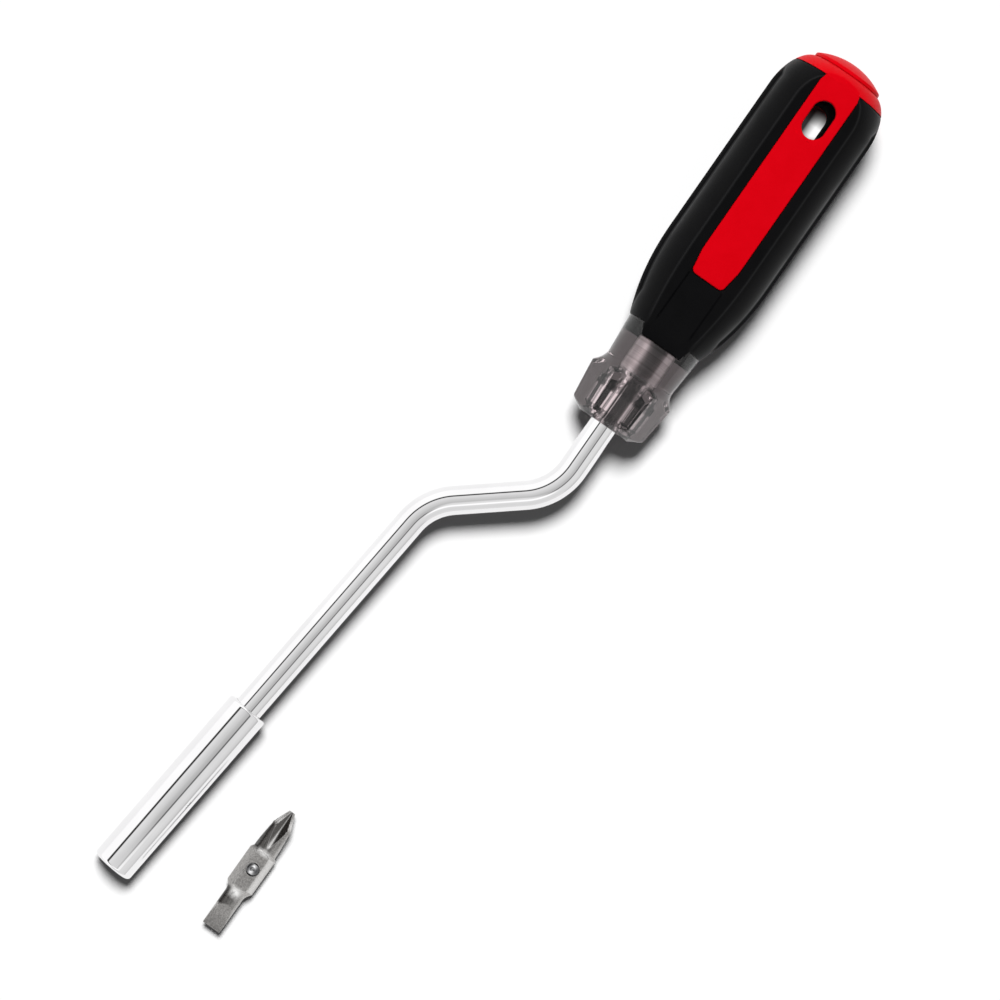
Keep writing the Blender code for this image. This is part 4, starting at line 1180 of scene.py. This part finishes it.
def lathe(name, profile, where, columns=72, masks=None):
    """A turned solid from a profile of place and radius that starts and ends on the axis."""
    profile = np.asarray(profile, float)
    radius = np.repeat(profile[:, 1:], columns, axis=1)
    points = turned_points(profile[:, 0], radius, around(columns), where)
    return skin(name, points, quads(len(profile), columns), masks=masks)


def bored(places, radii):
    """Profile of a stepped bore: each radius runs from one place to the next."""
    return np.column_stack((np.repeat(places, 2), np.repeat((0.0, *radii, 0.0), 2)[1:-1]))


spigot_bore = bored((CUT_FRONT, SPIGOT_END + END_GAP, SHAFT_IN_HANDLE + END_GAP),
                    (SPIGOT_NOSE + MOULD_GAP, SHAFT_RADIUS + MOULD_GAP))
disc_seat = bored((DISC_SPIGOT_FRONT - END_GAP, CUT_REAR), (DISC_SPIGOT + MOULD_GAP,))
pocket_half = LINER_HALF_HEIGHT + MOULD_GAP
carve(red_core, [
    slot_cutter(),
    prism("liner_pocket", slot_plan(LINER_WALL + MOULD_GAP), -pocket_half, pocket_half, HANDLE),
    lathe("spigot_bore", spigot_bore, HANDLE),
    lathe("disc_seat", disc_seat, HANDLE),
], sharp=40.0)
dress(red_core, red, "driver", "handle_core")

# %% [markdown]
# ## Slot liner
# The slot is lined with the grip's black rubber. The liner is a small rounded section carried
# round the slot's plan, just behind a red lip on each face.

# %% Liner skin
LINER_EASE_IN, LINER_EASE_OUT = 0.25, 0.1
LINER_STEPS = 32


def liner_skin():
    """Rows follow a closed section, inner wall to outer wall, and columns follow the plan."""
    corners = (
        (0.0, -LINER_HALF_HEIGHT),
        (LINER_WALL, -LINER_HALF_HEIGHT),
        (LINER_WALL, LINER_HALF_HEIGHT),
        (0.0, LINER_HALF_HEIGHT),
    )
    ease = (LINER_EASE_IN, LINER_EASE_OUT, LINER_EASE_OUT, LINER_EASE_IN)
    section = eased_profile(corners, ease)
    plans = np.stack([slot_plan(grow, LINER_STEPS) for grow in section[:, 0]])
    dull = np.ones(plans.shape[:2])
    return carried_plan(plans, section[:, 1]), quads(*dull.shape, loop_rows=True), {"dull": dull}


liner_points, liner_faces, liner_masks = liner_skin()
slot_lining = skin("slot_lining", liner_points, liner_faces, masks=liner_masks)
dress(slot_lining, elastomer, "driver", "slot_liner")

# %% [markdown]
# ## End disc
# The disc at the butt is a shallow dome on a short straight edge, with a spigot behind it.
# It is a turned shape, so one rounded profile is all that it needs.

# %% End disc
DISC_START, DISC_RADIUS, DISC_EDGE, DOME_HEIGHT = 103.86, 9.3, 0.84, 2.6
DISC_RIM = 0.35
RIM_STEPS = 6
dome_radius = (DISC_RADIUS**2 + DOME_HEIGHT**2) / (2 * DOME_HEIGHT)
dome_turn = np.linspace(np.arcsin((DISC_RADIUS - DISC_RIM) / dome_radius), 0, 22)
dome_middle = DISC_START + DISC_EDGE + DOME_HEIGHT - dome_radius
dome = np.stack((dome_middle + dome_radius * np.cos(dome_turn), dome_radius * np.sin(dome_turn)), axis=1)
rim_corners = (
    (DISC_START, DISC_SPIGOT),
    (DISC_START, DISC_RADIUS),
    (DISC_START + DISC_EDGE, DISC_RADIUS),
    tuple(dome[0]),
)
rim = eased_profile(rim_corners, (0.05, 0.2, 0.28, 0.0), RIM_STEPS)[:3 * RIM_STEPS]
spigot_foot = ((DISC_SPIGOT_FRONT, 0), (DISC_SPIGOT_FRONT, DISC_SPIGOT))
end_disc = lathe("end_disc", np.concatenate((spigot_foot, rim, dome)), HANDLE, 120)
dress(end_disc, red, "driver", "butt_cap")

# %% [markdown]
# ## Blasted steel
# The bit is tool steel with a fine blasted surface: speckled, dull and slightly warm. It is
# brighter where a socket rubs its hex corners, and a dark scale from the furnace stays on its
# necks and, thinly, on the ground blade. Painted highlights brighten the flares, one side facet,
# the wings of the point and the floors and rims of its grooves. Painted shade darkens one side
# of the necks and the walls of the grooves. Those masks come from the shape's formula and ride
# on the mesh.

# %% Steel finishes
steel = Finish("blasted_steel", metallic=1.0)
speckle = steel.effect(FINE_GRAIN, scale=2600.0)
blasted = steel.tint(speckle["Height"], (0.05, 0.048, 0.046), (0.72, 0.70, 0.68))
# Dark scale, plus painted shade on one side of the necks and on the groove walls.
scaled_and_shaded = steel.tint(steel.mask("scale"), blasted, (0.032, 0.029, 0.027))
# Brighter colour: wear on the hex corners, and painted highlights everywhere else.
steel.set("Base Color", steel.tint(steel.mask("highlight_and_wear"), scaled_and_shaded, (0.93, 0.92, 0.91)))
steel.set("Roughness", steel.spread(speckle["Tone"], 0.22, 0.32))
steel.bump(speckle["Height"], 0.00006)
bearing = Finish("bearing_steel", metallic=1.0)
polish = bearing.effect(HANDLING, scale=900.0)["Mask"]
worn = bearing.tint(polish, (0.10, 0.10, 0.105), (0.17, 0.17, 0.175))
# Painted shade: the ball's rim is darker, as in the gap round it.
gap_shaded = bearing.tint(bearing.mask("gap_shade"), worn, (0.012, 0.012, 0.012))
# Painted highlights: two bright spots on the ball's top.
bearing.set("Base Color", bearing.tint(bearing.mask("highlight_and_wear"), gap_shaded, (0.97, 0.97, 0.975)))
bearing.set("Roughness", bearing.spread(polish, 0.07, 0.14))
print("finishes:", steel.material.name, bearing.material.name)

# %% [markdown]
# ## Bit
# The bit is turned from hex bar, then ground. Seen from its axis, every cut is a limit on how
# far the steel reaches in a direction, so its radius is the smallest of all the limits: the
# turning, the six flats, the two faces of the blade and the four grooves of the cross point.

# %% Bit limits
BIT_HEX_HALF = 4.75
BLADE_END, BLADE_RADIUS, BLADE_HALF, BLADE_GRIND, BLADE_HOLLOW = -17.0, 2.5, 0.5, 7.0, 2.6
BLADE_FLARE, GRIND_STOP, GRIND_MOST = 2.6, -5.0, 1.6
POINT_END, POINT_SHANK, POINT_NECK, POINT_TIP, POINT_CONE = 17.4, 3.1, 3.05, 0.85, 4.4
POINT_FLARE = 0.9
BIT_BLANK = BIT_APOTHEM / np.cos(np.pi / 6) + 0.15
GROOVE_SLOPE, GROOVE_ROUND = 1.35, 0.15
GROOVE_START, GROOVE_KNEE = POINT_END - 11.4, POINT_END - 5.4
GROOVE_FLOORS = (3.3, 1.0, 0.6)
NO_LIMIT = 50.0


def bit_turned(x):
    """Turned radius: the blade's neck flares to the hex as a square of the share.

    The other end has a short cone, a neck that hardly narrows and the cone of the point."""
    flare = np.clip((x + BIT_HEX_HALF + BLADE_FLARE) / BLADE_FLARE, 0, 1)
    blade = BLADE_RADIUS + (BIT_BLANK - BLADE_RADIUS) * flare**2
    places = (BIT_HEX_HALF, BIT_HEX_HALF + POINT_FLARE, POINT_END - POINT_CONE, POINT_END)
    point = np.interp(x, places, (BIT_BLANK, POINT_SHANK, POINT_NECK, POINT_TIP))
    return np.where(x < 0, blade, point)


def blade_limit(x, angle):
    """The two hollow-ground faces: half thickness over the cosine from the top.

    The half thickness grows with a power of the share, so the face leaves the steel in an arc."""
    share = np.clip((x - BLADE_END) / BLADE_GRIND, 0, GRIND_MOST)
    half = BLADE_HALF + (BLADE_RADIUS - BLADE_HALF) * share**BLADE_HOLLOW
    half = np.where(x < GRIND_STOP, half, NO_LIMIT)
    return half[:, None] / np.maximum(np.abs(np.cos(angle)), 1e-3)


def groove_turn(angle):
    """Angle from the middle of the nearest groove, within an eighth of a turn to each side."""
    return (angle + np.pi / 4) % (np.pi / 2) - np.pi / 4


def groove_limit(x, angle):
    """A groove at each quarter: its floor over cosine less the wall's slope times sine.

    The angle comes from a hyperbola and not from a corner, so that the floor is round."""
    floor = np.interp(x, (GROOVE_START, GROOVE_KNEE, POINT_END), GROOVE_FLOORS)
    turn = np.sqrt(groove_turn(angle) ** 2 + GROOVE_ROUND**2) - GROOVE_ROUND
    open_side = np.cos(turn) - GROOVE_SLOPE * np.sin(turn)
    limit = floor[:, None] / np.maximum(open_side, 1e-3)
    return np.where(x[:, None] > GROOVE_START, limit, NO_LIMIT)


print("turned radius at blade and point, mm:", bit_turned(np.array((BLADE_END, POINT_END))))

# %% Bit masks
HEX_BAND = (-BIT_HEX_HALF, BIT_HEX_HALF, 0.1)
FLARE_BANDS = ((-6.9, -6.2, 1.5), (5.0, 5.6, 0.8))
NECK_BANDS = ((-10.5, -6.2, 0.8), (5.8, POINT_END - 5.0, 1.0))
GROUND_BAND = (BLADE_END, -8.5, 0.2)
TIP_BAND = (POINT_END - 3.5, POINT_END, 1.0)
# Weights of the brighter colour: corner wear, then painted highlights on a facet, the point's wings, a
# streak on each groove's floor and the groove rims.
CORNER_RUB, FACET_HIGHLIGHT, TIP_HIGHLIGHT, STREAK_HIGHLIGHT, RIM_HIGHLIGHT = 0.15, 0.42, 0.5, 0.8, 0.35
# Dark scale on the ground blade, and painted shade on the two groove walls, one darker.
GROUND_SCALE, WALL_SHADE = 0.25, (0.82, 1.0)
CORNER_RAMP, GROUND_RAMP, TIP_RAMP, GROOVE_RAMP = (0.955, 0.045), (0.06, 0.1), (1.4, 0.8), (0.0, 0.2)
FLARE_BELL, FACET_BELL = (0.0, 0.5), (-np.pi / 3, 0.45, 4)
STREAK_WIDTH, STREAK_FADE = 0.13, (1.0, 0.3)


def ramp(value, start, fade):
    """Goes from 0 at a start to 1 over a fade."""
    return np.clip((value - start) / fade, 0, 1)


def band(x, low, high, fade):
    """1 between two places, falling to 0 over a fade outside them."""
    return np.clip((x - low) / fade + 1, 0, 1) * np.clip((high - x) / fade + 1, 0, 1)


def bell(angle, middle, width, power=2):
    """A bell over the angle from a middle. A higher power has a flatter top."""
    turn = (angle - middle + np.pi) % (2 * np.pi) - np.pi
    return np.exp(-((turn / width) ** power))


def bit_masks(x, radius, angle):
    """Where the steel is brighter, and where it is darker.

    Brighter are the hex corners, which a socket wears, and, as painted highlights, one side
    facet, the flares beside the hex, the wings of the point, and the rims and floors of its
    grooves. Dark scale lies on the necks, with painted shade making one side darker, and thinly
    on the ground blade. Painted shade darkens the walls of the grooves, one wall more."""
    cut_away = bit_turned(x)[:, None] - radius
    x, angle = x[:, None], angle[None, :]
    hexagon = hexagon_reach(BIT_APOTHEM, angle)
    corner = ramp(hexagon / hexagon.max(), *CORNER_RAMP) ** 2 * band(x, *HEX_BAND)
    facet = bell(angle, *FACET_BELL) * band(x, *HEX_BAND)
    flare = sum(band(x, *places) for places in FLARE_BANDS) * bell(angle, *FLARE_BELL)
    ground = ramp(cut_away, *GROUND_RAMP) * band(x, *GROUND_BAND)
    wings = ramp(radius, *TIP_RAMP) * band(x, *TIP_BAND)
    wall = groove_turn(angle)
    groove = ramp(cut_away, *GROOVE_RAMP) * (x > GROOVE_START)
    rim = np.clip(6 * groove * (1 - groove) - 0.5, 0, 1)
    streak = np.exp(-((wall / STREAK_WIDTH) ** 2)) * np.interp(x, (GROOVE_START, POINT_END), STREAK_FADE)
    # Painted highlights, plus wear on the hex corners.
    highlight_and_wear = flare + CORNER_RUB * corner + FACET_HIGHLIGHT * facet + RIM_HIGHLIGHT * rim
    highlight_and_wear = highlight_and_wear + TIP_HIGHLIGHT * wings * (1 - groove) + STREAK_HIGHLIGHT * groove * streak
    necks = sum(band(x, *places) for places in NECK_BANDS) * (1 - flare)
    # Painted shade: the necks are darker on one side.
    shaded_side = np.clip(0.5 + 0.6 * np.sin(angle), 0, 1)
    scale = necks * (1 - ground) * shaded_side * (1 - groove) + GROUND_SCALE * ground
    scale = scale + groove * np.where(wall > 0, *WALL_SHADE) * (1 - streak)
    return {"highlight_and_wear": np.clip(highlight_and_wear, 0, 1), "scale": np.clip(scale, 0, 1)}


print("flare beside the hex at 4.5 and 5 mm:", band(np.array((4.5, 5.0)), *FLARE_BANDS[1]))

# %% Bit skin
BIT_COLUMNS = 264
HEX_SOFT, BLADE_SOFT, GROOVE_SOFT = 0.12, 0.06, 0.04


def bit_skin():
    """The smallest limit at each place and angle, with each crossing eased a little."""
    angle = around(BIT_COLUMNS)
    x = np.concatenate((
        np.linspace(BLADE_END + 0.12, -9.6, 44),
        np.linspace(-9.4, -4.2, 36),
        np.linspace(-3.6, 3.6, 9),
        np.linspace(4.2, 6.6, 24),
        np.linspace(6.8, POINT_END - 0.1, 76),
    ))
    radius = eased_min(bit_turned(x)[:, None], hexagon_reach(BIT_APOTHEM, angle)[None, :], HEX_SOFT)
    radius = eased_min(radius, blade_limit(x, angle[None, :]), BLADE_SOFT)
    radius = eased_min(radius, groove_limit(x, angle[None, :]), GROOVE_SOFT)
    pole = 0 * radius[:1]
    radius = np.concatenate((pole, 0.96 * radius[:1], radius, 0.9 * radius[-1:], pole))
    along = np.concatenate(((BLADE_END, BLADE_END), x, (POINT_END, POINT_END)))
    return turned_points(along, radius, angle, BIT), quads(*radius.shape), bit_masks(along, radius, angle)


bit_points, bit_faces, bit_marks = bit_skin()
bit_steel = skin("bit_steel", bit_points, bit_faces, sharp=32.0, masks=bit_marks)
print("points in the bit:", len(bit_steel.data.vertices))

# %% [markdown]
# ## Ball detent
# A ball sits in a hole in the upper flat with a coil under it. The hole's rim has a small
# bevel. The hole's walls, the bevel and the ball's rim are darker, as painted shade in the
# narrow gap between the rim and the ball. The ball is a dark steel, and two painted highlights
# sit before and behind its top. The loose bit and its ball stay out of mirrors, so that the
# sleeve beside them shows a clean studio.

# %% Ball hole
BALL_ALONG = 0.55
BALL_RADIUS, BALL_HEIGHT = 1.5875, 2.1875
HOLE_RADIUS, HOLE_FLOOR = 1.6875, -1.825
HOLE_MOUTH, HOLE_BEVEL = 1.74, 0.14
HOLE_STEP_LOW, HOLE_STEP_HIGH = BIT_APOTHEM - 0.9, BIT_APOTHEM - 0.7
HOLE_SHADE, BEVEL_SHADE = 1.0, 0.3
BALL_COLUMNS = 64
WELL = (place((BALL_ALONG, 0, 0), BIT), BIT[1])
UPRIGHT = (WELL[0], BIT[1][[2, 0, 1]])


def ball_hole():
    """Turned about the upright: a blind hole and a small bevel at the flat, painted darker inside as shade.
    """
    above, rim = BIT_APOTHEM + 2, HOLE_MOUTH + HOLE_BEVEL
    profile = (
        (HOLE_FLOOR, 0),
        (HOLE_FLOOR, HOLE_RADIUS),
        (HOLE_STEP_LOW, HOLE_RADIUS),
        (HOLE_STEP_HIGH, HOLE_MOUTH),
        (BIT_APOTHEM - HOLE_BEVEL, HOLE_MOUTH),
        (BIT_APOTHEM, rim),
        (above, rim),
        (above, 0),
    )
    # Painted shade: darker inside the hole and, less, on its bevel.
    scale = np.repeat((HOLE_SHADE,) * 5 + (BEVEL_SHADE,) * 3, BALL_COLUMNS)
    return lathe("ball_hole", profile, UPRIGHT, BALL_COLUMNS, {"highlight_and_wear": 0 * scale, "scale": scale})


carve(bit_steel, [ball_hole()], sharp=32.0)
dress(bit_steel, steel, "bit", "bit_body")
bit_steel.visible_glossy = False

# %% Ball
BALL_ROWS = 49
HIGHLIGHT_PLACE, HIGHLIGHT_SIZE = 0.5, 0.34
GAP_SHADE_START, GAP_SHADE_FADE = 0.76, 0.14


def ball_skin():
    """A sphere: rows from pole to pole, columns round it.

    One mask marks two round spots on top, before and behind the middle, as painted highlights.
    The other marks the rim, which is painted darker as shade in the gap round the ball."""
    turn = np.linspace(0, np.pi, BALL_ROWS)
    angle = around(BALL_COLUMNS)
    along = BALL_HEIGHT - BALL_RADIUS * np.cos(turn)
    radius = np.repeat(BALL_RADIUS * np.sin(turn)[:, None], BALL_COLUMNS, axis=1)
    before, aside = round_section(radius / BALL_RADIUS, angle)
    spot = np.exp(-(((np.abs(before) - HIGHLIGHT_PLACE) ** 2 + aside**2) / HIGHLIGHT_SIZE**2))
    highlight_and_wear = np.where(turn[:, None] > np.pi / 2, spot, 0.0)
    gap_shade = np.clip((radius / BALL_RADIUS - GAP_SHADE_START) / GAP_SHADE_FADE, 0, 1)
    return turned_points(along, radius, angle, UPRIGHT), quads(*radius.shape), {"highlight_and_wear": highlight_and_wear, "gap_shade": gap_shade}


ball_points, ball_faces, ball_masks = ball_skin()
bright_ball = skin("bright_ball", ball_points, ball_faces, masks=ball_masks)
dress(bright_ball, bearing, "ball", "detent_ball")
bright_ball.visible_glossy = False

# %% Coil
COIL_WIRE, COIL_RADIUS, COIL_TURNS, COIL_GAP = 0.125, 0.975, 3, 0.15
COIL_ROWS, WIRE_COLUMNS = 120, 12


def coil_skin():
    """A wire carried along a helix: three turns from the hole's floor to the ball.

    The first and last rows have no thickness, which closes the wire's ends."""
    turns = np.linspace(0, 2 * np.pi * COIL_TURNS, COIL_ROWS)
    reach = BALL_RADIUS + COIL_WIRE + COIL_GAP
    low = HOLE_FLOOR + COIL_GAP + COIL_WIRE
    high = BALL_HEIGHT - np.sqrt(reach**2 - COIL_RADIUS**2)
    level = low + (high - low) * turns / turns[-1]
    thick = np.full((COIL_ROWS, 1), COIL_WIRE)
    thick[[0, -1]] = 0.0
    section = around(WIRE_COLUMNS)[None, :]
    out = COIL_RADIUS + thick * np.cos(section)
    rise = level[:, None] + thick * np.sin(section)
    points = np.stack((out * np.cos(turns)[:, None], out * np.sin(turns)[:, None], rise), axis=-1)
    return place(points.reshape(-1, 3), WELL), quads(COIL_ROWS, WIRE_COLUMNS)


ball_coil = skin("ball_coil", *coil_skin())
dress(ball_coil, bearing, "bit", "detent_spring")
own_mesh(ball_coil)

# %% [markdown]
# ## Studio floor
# The floor is plain and pale, and a soft sun from the top of the frame throws the shadow down
# the picture. Light that has already left the floor once finds it darker, so that chrome
# doesn't fill its own shadow. Seen through the resin it is greyer and has an even glow. Under
# the slot it is dark and glows with painted light instead, and the glow fades towards the butt
# and to one side as a painted shadow.

# %% Floor
FLOOR_DROP = 0.05 * MM
FLOOR_HALF = 2.0
FLOOR_WHITE, FLOOR_AGAIN, FLOOR_THROUGH = (0.97,) * 3, (0.1,) * 3, (0.55,) * 3
corners = np.array(((-1, -1, 0), (1, -1, 0), (1, 1, 0), (-1, 1, 0)))
floor = skin("floor", FLOOR_HALF * corners - np.array((0, 0, FLOOR_DROP)), np.array(((0, 1, 2, 3),)))
floor_paint = Finish("floor_paint")
floor_rays = floor_paint.add("ShaderNodeLightPath").outputs
again = floor_paint.sum("MINIMUM", floor_rays["Diffuse Depth"], 1.0)
mirrored = floor_paint.tint(again, FLOOR_WHITE, FLOOR_AGAIN)
open_floor = floor_paint.tint(floor_rays["Is Glossy Ray"], FLOOR_WHITE, mirrored)
open_floor = floor_paint.tint(floor_rays["Is Transmission Ray"], open_floor, FLOOR_THROUGH)
floor_paint.set("Roughness", 0.9)
floor_paint.set("Specular IOR Level", 0.0)
floor.data.materials.append(floor_paint.material)
print("floor lies", FLOOR_DROP / MM, "mm under the part")

# %% Floor under the slot
SLOT_GLOW_REACH, SLOT_GLOW_FADE, SLOT_GLOW_LEAST = 3.4 * MM, 5.6 * MM, 0.03
THROUGH_RESIN = 0.13
to_slot = place((SLOT_PLACE, 0.0, 0.0), HANDLE) - CAMERA_PLACE
seen_floor = CAMERA_PLACE - to_slot * CAMERA_PLACE[2] / to_slot[2]
reach = floor_paint.add("ShaderNodeVectorMath")
reach.operation = "DISTANCE"
floor_paint.feed(floor_paint.coordinates, reach.inputs[0])
floor_paint.feed(tuple(seen_floor), reach.inputs[1])
# Painted light: under the slot the floor is dark and glows instead.
slot_glow_patch = floor_paint.spread(reach.outputs["Value"], 1.0, 0.0, SLOT_GLOW_REACH, SLOT_GLOW_FADE)
floor_paint.set("Base Color", floor_paint.tint(slot_glow_patch, open_floor, FLOOR_AGAIN))


def slot_glow_fade(direction, full, gone):
    """Goes from 1 to nearly 0 between two places along a direction from the middle of the painted glow: a
    painted shadow over it.
    """
    here = floor_paint.along(floor_paint.coordinates, direction)
    offset = floor_paint.sum("SUBTRACT", here, float(seen_floor @ direction))
    return floor_paint.spread(offset, 1.0, SLOT_GLOW_LEAST, full, gone)


# The glow fades towards the butt and to one side, as a painted shadow.
fade_back = slot_glow_fade(HANDLE[1][0], -0.8 * MM, 3.5 * MM)
fade_across = slot_glow_fade(HANDLE[1][1], -1.0 * MM, 1.4 * MM)
slot_glow_falloff = floor_paint.sum("MULTIPLY", fade_across, floor_paint.sum("POWER", fade_back, 2.0))
painted_slot_glow = floor_paint.sum("MULTIPLY", slot_glow_patch, slot_glow_falloff)
resin_glow = floor_paint.sum("MULTIPLY", floor_rays["Is Transmission Ray"], THROUGH_RESIN)
floor_paint.set("Emission Color", (1.0, 1.0, 1.0, 1.0))
floor_paint.set("Emission Strength", floor_paint.sum("ADD", resin_glow, painted_slot_glow))
print("camera sees the floor through the slot at, mm:", np.round(seen_floor / MM, 1))

# %% Sun
SUN_RISE, SUN_ANGLE, SUN_ENERGY = np.radians(66.5), np.radians(19.0), 3.38
sun = bpy.data.objects.new("sun", bpy.data.lights.new("sun", "SUN"))
sun.data.energy = SUN_ENERGY
sun.data.angle = SUN_ANGLE
level_up = FRAME_UP * np.array((1, 1, 0)) / np.linalg.norm(FRAME_UP[:2])
to_sun = np.cos(SUN_RISE) * level_up + np.sin(SUN_RISE) * np.array((0, 0, 1))
sun.matrix_world = turn_to(camera_axes(to_sun, np.zeros(3), 0.0, FRAME_RIGHT), (0, 0, 1))
sun.visible_glossy = False
sun.visible_transmission = False
bpy.context.collection.objects.link(sun)
print("sun stands at", np.round(to_sun, 3))

# %% [markdown]
# ## Studio walls
# Chrome shows what is round it, so the world has the studio's parts: a grey panel over the
# table, bright walls, and the dark gaps at the panel's edges. Only reflections see them. The
# resin looks into a room that is dark overhead and light on the left, the camera sees white,
# and the rest gets an even light.

# %% Studio world
LEFT_WALL = ((0, 0.70), (24, 0.86), (29.5, 0.82), (32, 0.05), (39.5, 0.04), (43, 1.15), (95, 1.15),
             (180, 1.0))
RIGHT_WALL = ((0, 0.70), (17, 0.57), (27, 0.52), (31, 0.12), (34, 0.12), (38, 0.82), (60, 0.82), (78, 0.74),
              (90, 0.56), (96, 0.56), (180, 0.95))
NEAR_WALL = ((0, 0.80), (25, 0.88), (33, 0.86), (37, 1.2), (46, 1.2), (50, 0.84), (70, 0.78), (80, 0.82),
             (180, 0.95))
DARK_ROOM = ((0, 0.05), (60, 0.07), (84, 0.35), (92, 1.2), (180, 1.2))
LIGHT_ROOM = ((0, 0.05), (40, 0.07), (58, 1.6), (180, 1.6))
world = bpy.data.worlds.new("studio")
world.use_nodes = True
bpy.context.scene.world = world
studio = Nodes(world.node_tree)
studio.tree.nodes.clear()
view = studio.add("ShaderNodeTexCoord").outputs["Generated"]


def band_ramp(angle, stops):
    """A ramp over the angle from the camera's axis: each stop is degrees and a grey."""
    ramp = studio.add("ShaderNodeValToRGB")
    studio.feed(angle, ramp.inputs["Fac"])
    elements = ramp.color_ramp.elements
    for number, (degrees, grey) in enumerate(stops):
        stop = elements[number] if number < 2 else elements.new(1.0)
        stop.position = degrees / 180.0
        stop.color = (grey, grey, grey, 1.0)
    return ramp.outputs["Color"]


def wall_mask(direction, slope, start):
    """Goes from 0 to 1 as the view turns towards a direction."""
    rise = studio.sum("MULTIPLY_ADD", studio.along(view, direction), slope)
    rise.node.inputs[2].default_value = start
    rise.node.use_clamp = True
    return rise


turn_share = studio.sum("DIVIDE", studio.sum("ARCCOSINE", studio.along(view, FRAME_BACK)), float(np.pi))
left = wall_mask(DRIVER[1][1], 4.0, 0.5)
near = wall_mask(-DRIVER[1][0], 8.0, -1.0)
right_walls = studio.tint(near, band_ramp(turn_share, RIGHT_WALL), band_ramp(turn_share, NEAR_WALL))
walls = studio.tint(left, right_walls, band_ramp(turn_share, LEFT_WALL))
room = studio.tint(left, band_ramp(turn_share, DARK_ROOM), band_ramp(turn_share, LIGHT_ROOM))
print("studio walls:", len(LEFT_WALL), len(RIGHT_WALL), len(NEAR_WALL), "stops")

# %% Who sees the studio
EVEN_LIGHT = (0.075, 0.075, 0.076)
studio_rays = studio.add("ShaderNodeLightPath").outputs
first_hand = studio.sum("LESS_THAN", studio_rays["Diffuse Depth"], 0.5)
in_mirror = studio.sum("MULTIPLY", studio_rays["Is Glossy Ray"], first_hand)
in_resin = studio.sum("MULTIPLY", studio_rays["Is Transmission Ray"], first_hand)
lit = studio.tint(in_mirror, EVEN_LIGHT, walls)
lit = studio.tint(in_resin, lit, room)
seen = studio.tint(studio_rays["Is Camera Ray"], lit, (1.0, 1.0, 1.0))
background = studio.add("ShaderNodeBackground")
studio.feed(seen, background.inputs["Color"])
studio.feed(background.outputs["Background"], studio.add("ShaderNodeOutputWorld").inputs["Surface"])
print("nodes in the studio:", len(studio.tree.nodes))
